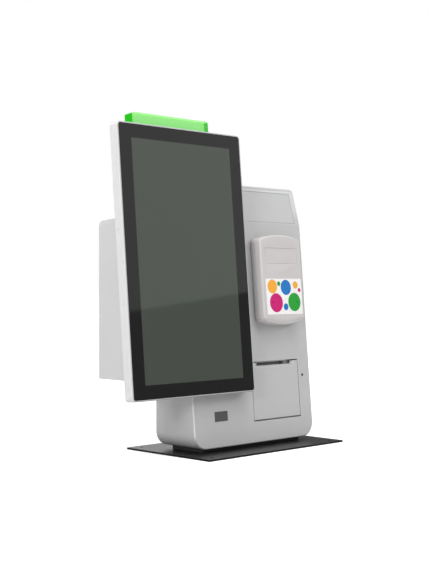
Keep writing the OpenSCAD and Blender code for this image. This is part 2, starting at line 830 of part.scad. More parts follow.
module rear_panel() {
    color([0.70, 0.71, 0.73]) difference() {
        slab(tower_front(wall + fit), y_panel, y_back);
        for (p = rear_screw_places) head_back(p[0], y_back, p[1]) screw_hole(m3, panel_t);
        block([inlet_x - inlet_w/2 - fit, y_panel - cut, inlet_z0 - fit],
            [inlet_x + inlet_w/2 + fit, y_back + cut, inlet_z1 + fit]);
        for (x = [-1, 0, 1]) vents(x*vent_pitch, z_top - vent_down, upper_vents, y_panel, y_back);
        vents((supply_x0 + supply_x1)/2, z_floor + supply_h, lower_vents, y_panel, y_back);
    }
}

module rear_panel_screws() {
    color("silver") for (p = rear_screw_places) head_back(p[0], y_back, p[1]) screw(m3, panel_t + lip_t);
}

module sign_panel() {
    color([0.84, 0.85, 0.86]) at_sign()
        block([sign_x - sign_w/2, fit, sign_z], [sign_x + sign_w/2, sign_t + fit, sign_z + sign_h]);
}

// The side housing's form: a level underside, an upright back, and a top that is square to the leaning front
module side_solid(inset, front, back) {
    low = side_z0 + inset;
    intersection() {
        prism([[front_y(low, front), low], [front_y(z_top, front), z_top], [back, z_top], [back, low]],
            side_x0, side_x1);
        at_front() slab(side_front(inset), -2*body_d, 2*body_d);
    }
}

// Open at its front, which the display's mounting plate closes
module side_housing() {
    color([0.84, 0.85, 0.86]) difference() {
        union() {
            difference() {
                side_solid(0, 0, y_back);
                side_solid(side_wall, -cut, side_back);
            }
            for (x = [board_x0 + board_post_d, board_x1 - board_post_d])
                for (z = [board_z0 + board_post_d, board_z0 + board_h - board_post_d])
                    rod_y(board_post_d, x, z, board_y1, side_back + side_wall/2);
            intersection() {
                at_front() for (z = bracket_screw_zs) rod_y(bracket_post_d, post_x, z, 0, bracket_post_l);
                side_solid(side_wall/2, 0, side_back);
            }
        }
        at_front() for (z = bracket_screw_zs) head_front(post_x, -bracket_t, z)
            screw_hole(m4, bracket_screw_grip);
        for (p = side_screw_places) rod_x(m4 + 2*run, p[0], p[1], side_x1 - side_wall - cut, side_x1 + cut);
        rod_x(cable_hole_d, cable_hole_y, cable_hole_z, side_x1 - side_wall - cut, side_x1 + cut);
        vents(fan_x, fan_z, lower_vents, side_back, y_back);
        block([side_mid - io_w/2 - fit, board_y0 - io_d - fit, side_z0 - cut],
            [side_mid + io_w/2 + fit, board_y0 + fit, side_z0 + side_wall + cut]);
    }
}

module side_screws() {
    color("silver") for (p = side_screw_places)
        translate([side_x1 - side_wall, p[0], p[1]]) rotate([0, -90, 0])
            screw(m4, side_wall + wall + screw_past);
}

// The mounting plate on the tower and side housing, with a boss for each of the display's screws
module display_bracket() {
    color([0.25, 0.25, 0.27]) at_front() difference() {
        union() {
            block([bracket_x0, -bracket_t, bracket_z0], [bracket_x1, -lie, bracket_z1]);
            for (p = vesa_places) rod_y(bracket_boss_d, p[0], p[1], -display_gap, -bracket_t/2);
        }
        for (p = vesa_places) head_back(p[0], -lie, p[1]) screw_hole(m4, display_gap + cut);
        for (p = bracket_screw_places) head_front(p[0], -bracket_t, p[1]) screw_hole(m4, bracket_t + cut);
    }
}

module bracket_screws() {
    color("silver") at_front() for (p = bracket_screw_places)
        head_front(p[0], -bracket_t, p[1]) screw(m4, bracket_screw_grip);
}

module vesa_screws() {
    color("silver") at_front() for (p = vesa_places)
        head_back(p[0], -lie, p[1]) screw(m4, display_gap + cover_t + boss_h - 1);
}

// A rounded outline centred on the display, shrunk evenly from the frame's outside
function display_outline(inset) = round_box(
    [display_x - frame_w/2 + inset, display_z + inset],
        [display_x + frame_w/2 - inset, display_z + frame_h - inset],
    max(frame_r - inset, 1), max(frame_r - inset, 1));

module display_frame() {
    color([0.93, 0.93, 0.93]) at_front() difference() {
        slab(display_outline(0), y_glass, -display_gap);
        slab(display_outline(rim - fit), y_glass - cut, y_ledge);
        slab(display_outline(rim + ledge_w), y_glass - cut, y_ledge + ledge_t + cut);
        slab(display_outline(frame_wall), y_ledge + ledge_t, -display_gap + cut);
        slab(display_outline(cover_wall - fit), -display_gap - cover_t, -display_gap + cut);
    }
}

module touch_glass() {
    color([0.07, 0.08, 0.08]) at_front() slab(display_outline(rim), y_glass, y_ledge);
}

module lcd_panel() {
    color([0.55, 0.57, 0.58]) at_front()
        block([display_x - active_w/2 - lcd_edge, y_ledge, display_mid - active_h/2 - lcd_edge],
            [display_x + active_w/2 + lcd_edge, y_ledge + lcd_t, display_mid + active_h/2 + lcd_edge]);
}

module display_rear_cover() {
    color([0.80, 0.81, 0.82]) at_front() difference() {
        union() {
            slab(display_outline(cover_wall), -display_gap - cover_t, -display_gap);
            for (p = vesa_places)
                rod_y(boss_d, p[0], p[1], -display_gap - cover_t - boss_h, -display_gap - cover_t/2);
            for (x = [-1, 1], z = [-1, 1])
                rod_y(board_post_d, display_x + x*display_post_x, display_board_z + z*display_post_z,
                    display_board_y + board_t,
                    -display_gap - cover_t/2);
        }
        for (p = vesa_places) head_back(p[0], -display_gap, p[1]) screw_hole(m4, cover_t + boss_h - 1);
        for (x = light_screw_xs) head_back(x, -display_gap + light_plate_t, light_cover_screw_z)
            screw_hole(m3, light_plate_t + cover_t);
    }
}

module display_board() {
    color([0.05, 0.30, 0.14]) at_front()
        upright_board([display_x - display_post_x - board_edge, display_board_y,
            display_board_z - display_post_z - board_edge],
            [display_x + display_post_x + board_edge, display_board_y + board_t,
            display_board_z + display_post_z + board_edge], display_chips);
}

module light_bar_bracket() {
    color("silver") at_front() difference() {
        block([light_mid - light_plate_w/2, -display_gap, light_z0 - light_plate_h],
            [light_mid + light_plate_w/2, light_y0, light_z0 - 1]);
        for (x = light_screw_xs) {
            head_back(x, light_y0, light_cover_screw_z) screw_hole(m3, light_plate_t + cover_t);
            head_front(x, -display_gap, light_screw_z) screw_hole(m3, light_plate_t);
        }
    }
}

// An opaque block below the cover, with a raised spigot that the cover fits over
module light_bar_base() {
    color([0.80, 0.81, 0.82]) at_front() difference() {
        union() {
            block([light_mid - light_w/2, light_y0, light_z0 - light_base_h],
                [light_mid + light_w/2, light_y1, light_z0]);
            block([light_mid - light_in_w/2, light_y0 + light_wall + fit, light_z0 - cut],
                [light_mid + light_in_w/2, light_y1 - light_wall - fit, light_z0 + light_spigot_h]);
        }
        for (x = light_screw_xs) head_back(x, light_y1, light_screw_z) screw_hole(m3, light_d + cut);
    }
}

// A translucent bar with rounded upper corners, hollow below round its board and spigot
module light_bar_cover() {
    lo = [light_mid - light_w/2, light_z0];
    hi = [light_mid + light_w/2, light_z1];
    color([0.25, 0.80, 0.20, 0.6]) at_front() difference() {
        slab(round_box(lo, hi, light_r/3, light_r), light_y0, light_y1);
        block([lo[0] + light_wall, light_y0 + light_wall, light_z0 - cut],
            [hi[0] - light_wall, light_y1 - light_wall, light_z0 + light_hollow]);
    }
}

module light_bar_board() {
    pitch = light_in_w/(light_leds + 1);
    mid = (light_y0 + light_y1)/2;
    z0 = light_z0 + light_spigot_h;
    color([0.92, 0.92, 0.88]) at_front() {
        block([light_mid - light_in_w/2 + fit, mid - light_board_d/2, z0],
            [light_mid + light_in_w/2 - fit, mid + light_board_d/2, z0 + light_board_t]);
        for (i = [1:light_leds]) {
            x = light_mid - light_in_w/2 + i*pitch;
            block([x - led_w/2, mid - led_w/2, z0],
                [x + led_w/2, mid + led_w/2, z0 + light_board_t + led_h]);
        }
    }
}

module light_bar_screws() {
    color("silver") at_front() for (x = light_screw_xs) {
        head_back(x, light_y0, light_cover_screw_z) screw(m3, light_plate_t + cover_t);
        head_back(x, light_y1, light_screw_z) screw(m3, light_d + light_plate_t);
    }
}

// The reader's flat back, with the rim that centres the case and the posts that carry its board
module reader_back() {
    color([0.74, 0.73, 0.73]) at_front() difference() {
        union() {
            slab(reader_outline(reader_shadow), -reader_back_t, -lie);
            difference() {
                slab(reader_outline(reader_wall + fit), -reader_back_t - reader_rim_h, -reader_back_t/2);
                slab(reader_outline(reader_wall + fit + reader_rim_t), -reader_back_t - reader_rim_h - cut,
                    0);
            }
            for (x = [-1, 1], z = [-1, 1])
                rod_y(reader_post_d, reader_x + x*reader_post_x, reader_mid + z*reader_post_z,
                    reader_board_y + reader_board_t, -reader_back_t/2);
        }
        for (p = reader_screw_places) head_back(p[0], wall, p[1]) screw_hole(m3, reader_screw_grip);
    }
}

// The reader's case, hollow from behind, with shallow seats for its window and label
module reader_front() {
    color([0.83, 0.81, 0.81]) at_front() difference() {
        union() {
            difference() {
                slab(reader_outline(0), -reader_d, -reader_back_t);
                slab(reader_outline(reader_wall), -reader_d + reader_skin, -reader_back_t + cut);
            }
            for (p = reader_screw_places)
                rod_y(reader_boss_d, p[0], p[1], -reader_d + reader_skin/2, -reader_back_t);
        }
        for (p = reader_screw_places) head_back(p[0], wall, p[1]) screw_hole(m3, reader_screw_grip);
        slab(window_outline(fit), -reader_d - cut, -reader_d + reader_inset_t + fit);
        slab(label_outline(fit), -reader_d - cut, -reader_d + label_t);
    }
}
function window_outline(grow) = round_box([reader_x - window_w/2 - grow, reader_z + window_z - grow],
    [reader_x + window_w/2 + grow, reader_z + window_z + window_h + grow], reader_inset_r, reader_inset_r);
function label_outline(grow) = round_box([reader_x + label_x - label_w/2 - grow, reader_z + label_z - grow],
    [reader_x + label_x + label_w/2 + grow, reader_z + label_z + label_h + grow], reader_inset_r, reader_inset_r);

module reader_window() {
    color([0.77, 0.75, 0.74]) at_front()
        slab(window_outline(0), -reader_d + fit, -reader_d + reader_inset_t + fit);
}

module reader_label() {
    color([0.95, 0.62, 0.25]) at_front() slab(label_outline(0), -reader_d, -reader_d + label_t);
}

module reader_board() {
    color([0.05, 0.30, 0.14]) at_front()
        upright_board([reader_x - reader_post_x - reader_post_d, reader_board_y,
            reader_mid - reader_post_z - reader_post_d],
            [reader_x + reader_post_x + reader_post_d, reader_board_y + reader_board_t,
                reader_mid + reader_post_z + reader_post_d], 3);
}

module reader_screws() {
    color("silver") at_front() for (p = reader_screw_places) head_back(p[0], wall, p[1])
        screw(m3, reader_screw_grip);
}

// The door: lower edge rounded about its hinge, receipt scoop along its top, lug for the lock
module printer_door() {
    back = door_t + cut;
    slope = (slot_z0 - scoop_z0)/door_t;
    wide = scoop_w/2;
    narrow = scoop_w/2 - scoop_bevel;
    spread = scoop_bevel/door_t;
    color([0.76, 0.77, 0.79]) at_front() difference() {
        union() {
            difference() {
                prism(concat(arc([hinge_y, hinge_z], door_t/2, 180, 360), [[door_t, door_z1],
                    [0, door_z1]]), door_x0, door_x1);
                block([door_x0 + door_rim, door_skin, hinge_z + door_rim],
                    [door_x1 - door_rim, back, scoop_z0 - door_rim/2]);
            }
            block([lug_x0, door_skin - cut, lock_z - lug_h/2],
                [lug_x0 + lug_t, lug_y + lug_t, lock_z + lug_h/2]);
            block([lug_x0, lug_y, lock_z - lug_h/2], [lug_x0 + lug_lip, lug_y + lug_t, lock_z + lug_h/2]);
        }
        intersection() {
            prism([[-cut, scoop_z0 - cut*slope], [back, slot_z0 + cut*slope], [back, door_z1 + cut],
                [-cut, door_z1 + cut]], door_x0, door_x1);
            translate([door_x + scoop_x, 0, 0]) linear_extrude(2*door_z1)
                polygon([[-wide - cut*spread, -cut], [wide + cut*spread, -cut], [narrow - cut*spread, back],
                    [-narrow + cut*spread, back]]);
        }
        rod_x(pin_d + 2*run, hinge_y, hinge_z, door_x0 - cut, door_x0 + pin_seat);
        rod_x(pin_d + 2*run, hinge_y, hinge_z, door_x1 - pin_seat, door_x1 + cut);
    }
}

module door_hinge_pins() {
    color("silver") at_front() {
        rod_x(pin_d, hinge_y, hinge_z, door_x0 - door_gap - jamb_t, door_x0 + pin_seat);
        rod_x(pin_d, hinge_y, hinge_z, door_x1 - pin_seat, door_x1 + door_gap + jamb_t);
    }
}

// The lock's bush behind the tower's front, counterbored for the spindle's collar
module lock_barrel() {
    color("gray") at_front() difference() {
        rod_y(barrel_d, lock_x, lock_z, wall, wall + barrel_l);
        rod_y(lock_d + 2*run, lock_x, lock_z, wall - cut, wall + barrel_l + cut);
        rod_y(collar_d + 2*fit, lock_x, lock_z, wall - cut, wall + collar_t + 2*fit);
    }
}

// The spindle with its key socket and collar, and the cam standing upright when unlocked
module lock_spindle() {
    cam_end = cam_reach - cam_w/2;
    color([0.16, 0.16, 0.17]) at_front() difference() {
        union() {
            rod_y(lock_d, lock_x, lock_z, lock_face, cam_y + cam_t + cut);
            rod_y(collar_d, lock_x, lock_z, wall + fit, wall + fit + collar_t);
            rod_y(cam_w, lock_x, lock_z, cam_y, cam_y + cam_t);
            block([lock_x - cam_w/2, cam_y, lock_z], [lock_x + cam_w/2, cam_y + cam_t, lock_z + cam_end]);
        }
        translate([lock_x, lock_face - cut, lock_z]) rotate([-90, 0, 0])
            cylinder(d = hex_d, h = wall + cut, $fn = hex_sides);
    }
}

// Two side plates, a floor and a back, folded from one sheet
module printer_frame() {
    color([0.62, 0.63, 0.65]) difference() {
        union() {
            for (x = [plate_x0, bay_x1])
                block([x, printer_y0, z_floor], [x + plate_t, printer_y1, printer_z1]);
            block([plate_x0, printer_y0, z_floor], [plate_x1, printer_y1, z_floor + plate_t]);
            block([plate_x0, printer_y1 - plate_t, z_floor], [plate_x1, printer_y1, printer_z1]);
            block([bay_x1, printer_y0, paper_z - guard_below], [guard_x1, printer_y0 + plate_t, printer_z1]);
        }
        rod_x(rod_d + 2*run, roll_y, roll_z, plate_x0 - cut, plate_x1 + cut);
        rod_x(shaft_d + 2*run, platen_y, platen_z, plate_x0 - cut, plate_x1 + cut);
        rod_x(idler_pin_d + 2*run, idler_y, idler_z, bay_x1 - cut, plate_x1 + cut);
        rod_x(2*motor_shaft_d, pinion_y, platen_z, bay_x1 - cut, plate_x1 + cut);
        for (p = printer_floor_screws) translate([p[0], p[1], z_floor + plate_t]) screw_hole(m4, plate_t);
    }
}

module roll_rod() {
    color("silver") {
        rod_x(rod_d, roll_y, roll_z, plate_x0 - cut, plate_x1 + rod_head_t);
        rod_x(rod_head_d, roll_y, roll_z, plate_x1 + run, plate_x1 + rod_head_t);
    }
}

module roll_core() {
    color([0.60, 0.47, 0.33]) difference() {
        rod_x(core_d, roll_y, roll_z, door_x - paper_w/2, door_x + paper_w/2);
        rod_x(rod_d + 2*run, roll_y, roll_z, door_x - paper_w/2 - cut, door_x + paper_w/2 + cut);
    }
}

module paper_roll() {
    color([0.95, 0.95, 0.93]) difference() {
        rod_x(roll_d, roll_y, roll_z, door_x - paper_w/2, door_x + paper_w/2);
        rod_x(core_d + 2*run, roll_y, roll_z, door_x - paper_w/2 - cut, door_x + paper_w/2 + cut);
    }
}

module platen_shaft() {
    color("silver") rod_x(shaft_d, platen_y, platen_z, plate_x0 - cut, gear_x1 + cut);
}

module platen_roller() {
    color([0.12, 0.12, 0.12]) difference() {
        rod_x(platen_d, platen_y, platen_z, bay_x0 + 2, bay_x1 - 2);
        rod_x(shaft_d + 2*run, platen_y, platen_z, bay_x0, bay_x1);
    }
}

module gear(teeth, y, z, bore, turn) {
    difference() {
        translate([0, y, z]) rotate([turn, 0, 0]) prism(gear_outline(teeth), gear_x0, gear_x1);
        rod_x(bore, y, z, gear_x0 - cut, gear_x1 + cut);
    }
}

module platen_gear() {
    color([0.90, 0.88, 0.80]) gear(platen_teeth, platen_y, platen_z, shaft_d + 2*run, 0);
}

module idler_pin() {
    color("silver") {
        rod_x(idler_pin_d, idler_y, idler_z, bay_x1, gear_x1 + cut);
        rod_x(2*idler_pin_d, idler_y, idler_z, gear_x1 + fit, gear_x1 + fit + cut);
    }
}

module idler_gear() {
    color([0.90, 0.88, 0.80]) gear(idler_teeth, idler_y, idler_z, idler_pin_d + 2*run, idler_turn);
}

module stepper_motor() {
    half = motor_w/2;
    color([0.30, 0.31, 0.33]) difference() {
        prism(round_box([pinion_y - half, platen_z - half],
            [pinion_y + half, platen_z + half], motor_r, motor_r), bay_x1 - motor_l, bay_x1);
        rod_x(motor_shaft_d + 2*run, pinion_y, platen_z, bay_x1 - motor_l/2, bay_x1 + cut);
    }
}

module motor_pinion() {
    color([0.78, 0.66, 0.35]) {
        gear(pinion_teeth, pinion_y, platen_z, motor_shaft_d/2, pinion_turn);
        rod_x(motor_shaft_d, pinion_y, platen_z, bay_x1 - motor_l/2 + fit, gear_x1);
    }
}

// The heated head across the bay above the platen, with cooling fins on top
module print_head() {
    pitch = bay_w/head_fins;
    color([0.45, 0.47, 0.50]) difference() {
        block([bay_x0, head_y0, head_z0], [bay_x1, head_y1, head_z1]);
        for (i = [1:head_fins - 1])
            block([bay_x0 + i*pitch - pitch/4, head_y0 - cut, (head_z0 + head_z1)/2],
                [bay_x0 + i*pitch + pitch/4, head_y1 + cut, head_z1 + cut]);
    }
}

// The cutter's guide across the bay, slotted for the blade that drops past the paper
module cutter_housing() {
    mid = (cutter_y0 + cutter_y1)/2;
    color([0.35, 0.36, 0.38]) difference() {
        block([bay_x0, cutter_y0, cutter_z0], [bay_x1, cutter_y1, cutter_z1]);
        block([bay_x0 + blade_in - fit, mid - blade_t/2 - fit, cutter_z0 - cut],
            [bay_x1 - blade_in + fit, mid + blade_t/2 + fit, cutter_z1 + cut]);
    }
}

module cutter_blade() {
    mid = (cutter_y0 + cutter_y1)/2;
    color("silver") block([bay_x0 + blade_in, mid - blade_t/2, cutter_z0],
        [bay_x1 - blade_in, mid + blade_t/2, cutter_z1]);
}

module scanner_window() {
    color([0.18, 0.10, 0.11]) at_front()
        block([scan_x - scan_w/2, 0, scan_z], [scan_x + scan_w/2, scan_t, scan_z + scan_h]);
}

module scanner_module() {
    color([0.10, 0.10, 0.11]) at_front() difference() {
        block([scan_x - scan_body_w/2, wall, scan_z],
            [scan_x + scan_body_w/2, wall + scan_d, scan_z + scan_h]);
        rod_y(scan_eye_d, scan_x, scan_z + scan_h/2, wall - cut, wall + scan_d/3);
    }
}

// A strap over the scanning module, with an ear screwed to the tower's front at each side
module scanner_bracket() {
    mid = scan_z + scan_h/2;
    inner = scan_body_w/2 + fit;
    outer = inner + scan_strap_t;
    back = wall + scan_d + fit;
    color("silver") at_front() difference() {
        union() {
            block([scan_x - outer, wall, mid - scan_strap_h/2],
                [scan_x + outer, back + scan_strap_t, mid + scan_strap_h/2]);
            block([scan_x - outer - scan_ear, wall, mid - scan_strap_h/2],
                [scan_x + outer + scan_ear, wall + scan_strap_t, mid + scan_strap_h/2]);
        }
        block([scan_x - inner, wall - cut, mid - scan_strap_h], [scan_x + inner, back, mid + scan_strap_h]);
        for (x = [-1, 1]) head_back(scan_x + x*scan_strap_x, wall + scan_strap_t, mid)
            screw_hole(m3, scan_screw_grip);
    }
}

module power_supply() {
    color([0.66, 0.67, 0.69]) difference() {
        union() {
            block([supply_x0, supply_y0, z_floor], [supply_x1, supply_y1, z_floor + supply_h]);
            block([supply_x0 - supply_foot, supply_mid - supply_foot/2, z_floor],
                [supply_x1 + supply_foot, supply_mid + supply_foot/2, z_floor + supply_foot_t]);
        }
        for (p = supply_screws) translate([p[0], p[1], z_floor + supply_foot_t])
            screw_hole(m4, supply_foot_t);
    }
}

// An inlet with three contacts below, and the rocker's well above
module power_inlet() {
    half = inlet_w/2;
    color([0.08, 0.08, 0.09]) {
        difference() {
            union() {
                block([inlet_x - half, inlet_y1 - inlet_deep, inlet_z0],
                    [inlet_x + half, inlet_y1, inlet_z1]);
                block([inlet_x - half - inlet_flange, y_back, inlet_z0 - inlet_flange],
                    [inlet_x + half + inlet_flange, inlet_y1, inlet_z1 + inlet_flange]);
            }
            block([inlet_x - socket_w/2, inlet_y1 - socket_deep, socket_mid - socket_h/2],
                [inlet_x + socket_w/2, inlet_y1 + cut, socket_mid + socket_h/2]);
            block([inlet_x - rocker_w/2 - fit, rocker_y - rocker_half,
                rocker_mid - rocker_half - rocker_room],
                [inlet_x + rocker_w/2 + fit, inlet_y1 + cut, rocker_mid + rocker_half + rocker_room]);
            rod_x(rocker_pin_d + 2*run, rocker_y, rocker_mid, inlet_x - half + 1, inlet_x + half - 1);
        }
        for (i = [-1, 0, 1])
            block([inlet_x + i*pin_pitch - pin_w/2, inlet_y1 - socket_deep - cut,
                socket_mid - pin_h/2 - (1 - abs(i))*pin_drop],
                [inlet_x + i*pin_pitch + pin_w/2, inlet_y1 - socket_deep + pin_l,
                    socket_mid + pin_h/2 - (1 - abs(i))*pin_drop]);
    }
}

// The rocker on its pivot pins, resting with its lower half pressed in
module power_switch() {
    lift = rocker_half*tan(rocker_tilt);
    color([0.25, 0.25, 0.26]) translate([0, rocker_y, rocker_mid]) rotate([-rocker_tilt, 0, 0]) {
        prism([[-rocker_half/2, 0], [0, -rocker_half], [rocker_rise + lift, -rocker_half], [rocker_rise, 0],
            [rocker_rise + lift, rocker_half],
                [0, rocker_half]], inlet_x - rocker_w/2, inlet_x + rocker_w/2);
        rod_x(rocker_pin_d, 0, 0, inlet_x - inlet_w/2 + 1 + fit, inlet_x + inlet_w/2 - 1 - fit);
    }
}

module main_board() {
    color([0.05, 0.30, 0.14]) upright_board([board_x0, board_y0, board_z0],
        [board_x1, board_y1, board_z0 + board_h], main_chips);
}

module heat_sink() {
    pitch = (sink_w - sink_fin_t)/(sink_fins - 1);
    color([0.75, 0.76, 0.78]) {
        block([side_mid - sink_w/2, board_y0 - sink_base, sink_z],
            [side_mid + sink_w/2, board_y0, sink_z + sink_w]);
        for (i = [0:sink_fins - 1]) {
            x = side_mid - sink_w/2 + i*pitch;
            block([x, board_y0 - sink_tall, sink_z],
                [x + sink_fin_t, board_y0 - sink_base/2, sink_z + sink_w]);
        }
    }
}

// Network and serial sockets on the board's lower edge, facing down through the housing
module io_block() {
    y0 = board_y0 - io_d;
    mid = (y0 + board_y0)/2;
    color([0.68, 0.69, 0.70]) difference() {
        block([side_mid - io_w/2, y0, side_z0], [side_mid + io_w/2, board_y0, board_z0 + io_bond]);
        for (port = ports)
            block([side_mid + port[0] - port[1]/2, mid - port[2]/2, side_z0 - cut],
                [side_mid + port[0] + port[1]/2, mid + port[2]/2, side_z0 + port_deep]);
    }
}

// The fan's frame, with struts to a hub that carries the rotor's pin
module fan_frame() {
    half = fan_w/2;
    color([0.12, 0.12, 0.13]) {
        difference() {
            block([fan_x - half, fan_y0, fan_z - half], [fan_x + half, side_back, fan_z + half]);
            rod_y(fan_bore, fan_x, fan_z, fan_y0 - cut, side_back + cut);
        }
        rod_y(hub_d, fan_x, fan_z, side_back - fan_strut, side_back);
        rod_y(fan_pin_d, fan_x, fan_z, fan_y0 + 2, side_back - fan_strut/2);
        for (a = [0, 90]) translate([fan_x, 0, fan_z]) rotate([0, a, 0])
            block([-half + 1, side_back - fan_strut, -fan_strut/2], [half - 1, side_back, fan_strut/2]);
    }
}

module fan_rotor() {
    y0 = fan_y0 + 1;
    y1 = side_back - fan_strut - fit;
    tip = fan_bore/2 - fan_room;
    half = (y1 - y0)/2 - 1;
    color([0.20, 0.20, 0.21]) difference() {
        union() {
            rod_y(hub_d, fan_x, fan_z, y0, y1);
            for (i = [0:fan_blades - 1]) translate([fan_x, (y0 + y1)/2, fan_z])
                rotate([0, i*360/fan_blades, 0])
                rotate([blade_pitch, 0, 0]) block([hub_d/2 - 2*fan_blade_t, -half, -fan_blade_t/2],
                    [tip, half, fan_blade_t/2]);
        }
        rod_y(fan_pin_d + 2*run, fan_x, fan_z, y0 - cut, y1 + cut);
    }
}

base_plate();
base_screws();
plinth();
body_shell();
floor_screws();
rear_panel();
rear_panel_screws();
sign_panel();
side_housing();
side_screws();
display_bracket();
bracket_screws();
vesa_screws();
display_frame();
touch_glass();
lcd_panel();
display_rear_cover();
display_board();
light_bar_bracket();
light_bar_base();
light_bar_cover();
light_bar_board();
light_bar_screws();
reader_back();
reader_front();
reader_window();
reader_label();
reader_board();
reader_screws();
printer_door();
door_hinge_pins();
lock_barrel();
lock_spindle();
printer_frame();
roll_rod();
roll_core();
paper_roll();
platen_shaft();
platen_roller();
platen_gear();
idler_pin();
idler_gear();
stepper_motor();
motor_pinion();
print_head();
cutter_housing();
cutter_blade();
scanner_window();
scanner_module();
scanner_bracket();
power_supply();
power_inlet();
power_switch();
main_board();
heat_sink();
io_block();
fan_frame();
fan_rotor();
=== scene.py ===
"""Looks of a counter-top self-service kiosk, dressed around its fixed frame."""
import json
import math

import bmesh
import bpy
from bpy.props import FloatProperty, FloatVectorProperty, IntProperty, PointerProperty
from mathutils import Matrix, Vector

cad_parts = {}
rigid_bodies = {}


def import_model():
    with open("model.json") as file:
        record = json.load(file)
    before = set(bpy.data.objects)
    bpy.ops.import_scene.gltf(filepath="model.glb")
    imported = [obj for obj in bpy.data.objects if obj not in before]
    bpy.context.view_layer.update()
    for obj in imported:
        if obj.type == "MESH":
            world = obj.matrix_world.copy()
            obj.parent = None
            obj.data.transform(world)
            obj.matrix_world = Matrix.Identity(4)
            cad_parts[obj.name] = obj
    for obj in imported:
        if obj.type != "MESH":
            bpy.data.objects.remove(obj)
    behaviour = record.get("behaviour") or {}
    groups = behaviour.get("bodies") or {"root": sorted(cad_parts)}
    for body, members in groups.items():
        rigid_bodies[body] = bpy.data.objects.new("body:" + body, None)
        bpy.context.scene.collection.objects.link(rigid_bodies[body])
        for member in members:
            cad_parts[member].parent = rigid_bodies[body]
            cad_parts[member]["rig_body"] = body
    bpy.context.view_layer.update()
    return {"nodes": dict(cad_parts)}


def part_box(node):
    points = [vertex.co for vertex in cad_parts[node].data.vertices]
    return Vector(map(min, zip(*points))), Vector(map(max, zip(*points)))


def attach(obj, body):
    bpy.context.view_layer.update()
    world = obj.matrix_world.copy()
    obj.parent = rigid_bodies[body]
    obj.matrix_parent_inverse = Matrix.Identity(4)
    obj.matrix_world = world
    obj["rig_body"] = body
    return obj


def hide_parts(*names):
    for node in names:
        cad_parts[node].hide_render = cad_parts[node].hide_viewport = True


bl_info = {
    "name": "Self-service kiosk",
    "version": (1, 0, 0),
    "blender": (4, 5, 0),
    "location": "View3D > Sidebar > Kiosk",
    "description": "Dresses the kiosk's fixed frame with rounded shells, finishes, small parts and a studio",
    "category": "Object",
}

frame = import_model()

# The leaning front: its foot line and its lean
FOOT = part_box("body_shell")[0]
LEAN = math.radians(5)

# How near a face's depth a place counts as lying on it, and how soft the edge of a painted band is
NEAR = 0.0005
SOFT = 0.0001

# Long side of the camera's sensor, in millimetres
SENSOR = 36


def on_front(x, depth, rise):
    """A place given on the leaning front, in metres: across, behind it and up it."""
    return Vector((x, FOOT.y + rise * math.sin(LEAN) + depth * math.cos(LEAN),
                   FOOT.z + rise * math.cos(LEAN) - depth * math.sin(LEAN)))


def depth_of(place):
    """How far a place lies behind the leaning front."""
    return (place.y - FOOT.y) * math.cos(LEAN) - (place.z - FOOT.z) * math.sin(LEAN)


def rise_of(place):
    """How far up the leaning front a place lies."""
    return (place.y - FOOT.y) * math.sin(LEAN) + (place.z - FOOT.z) * math.cos(LEAN)


def corners_of(node):
    """The corners of a frame node's mesh."""
    return [v.co for v in frame["nodes"][node].data.vertices]


# Sizes and colours that a user would change

def colour(name, about, value):
    return FloatVectorProperty(name=name, description=about, default=value, size=3, min=0, max=1,
                               subtype="COLOR")


def length(name, about, value):
    return FloatProperty(name=name, description=about, default=value, min=0, unit="LENGTH",
                         subtype="DISTANCE")


def power(name, about, value):
    return FloatProperty(name=name, description=about, default=value, min=0, unit="POWER")


def count(name, about, value):
    return IntProperty(name=name, description=about, default=value, min=1)


class KioskColours(bpy.types.PropertyGroup):
    """Colours of the shells, the screen, the light bar and the label."""
    tower: colour("Tower", "Satin paint of the tower and its door", (0.460, 0.460, 0.462))
    panel: colour("Rear panel", "Paint of the rear panel", (0.465, 0.465, 0.468))
    sign: colour("Sign plate", "The bare plate above the reader", (0.452, 0.453, 0.457))
    side: colour("Side housing", "Satin plastic of the side housing", (0.505, 0.506, 0.508))
    bezel: colour("Display frame", "White plastic round the display", (0.585, 0.585, 0.589))
    base: colour("Base plate", "Powder coat of the base plate", (0.012, 0.012, 0.0125))
    border: colour("Glass border", "Black print behind the glass", (0.0078, 0.0076, 0.0076))
    screen: colour("Screen", "The panel seen through the glass while it is off", (0.0510, 0.0612, 0.0492))
    reader: colour("Reader", "Warm white plastic of the card reader", (0.520, 0.498, 0.496))
    inset: colour("Reader window", "The reader's recessed window", (0.518, 0.496, 0.492))
    light_face: colour("Light bar face", "The light bar seen across its depth", (0.225, 0.71, 0.195))
    light_end: colour("Light bar end", "The light bar seen along its length", (0.012, 0.47, 0.003))
    light_top: colour("Light bar top", "The light bar's upper face", (0.36, 0.90, 0.24))
    disc_orange: colour("Orange discs", "Ink of the label's orange discs", (0.80, 0.36, 0.035))
    disc_blue: colour("Blue discs", "Ink of the label's blue discs", (0.003, 0.155, 0.47))
    disc_magenta: colour("Magenta discs", "Ink of the label's magenta discs", (0.52, 0.0, 0.14))
    disc_green: colour("Green discs", "Ink of the label's green discs", (0.004, 0.29, 0.02))


class KioskEdges(bpy.types.PropertyGroup):
    """Radii of the rounded edges."""
    tower: length("Tower", "Edge radius of the tower", 0.0028)
    side: length("Side housing", "Edge radius of the side housing", 0.0012)
    bezel: length("Display front", "Radius of the frame's front edge", 0.0014)
    bezel_back: length("Display back", "Radius of the frame's rear edge", 0.0028)
    reader: length("Reader", "Radius of the card reader's front edge", 0.0040)
    reader_low: length("Reader low", "Radius where the reader's face turns under at its lower end", 0.0130)
    reader_back: length("Reader back", "Radius of the reader's rear edge, against the tower", 0.0032)
    light: length("Light bar", "Edge radius of the light bar", 0.0008)
    plate: length("Plates", "Edge radius of sheet and plates", 0.0004)
    small: length("Small parts", "Edge radius of small parts", 0.0003)


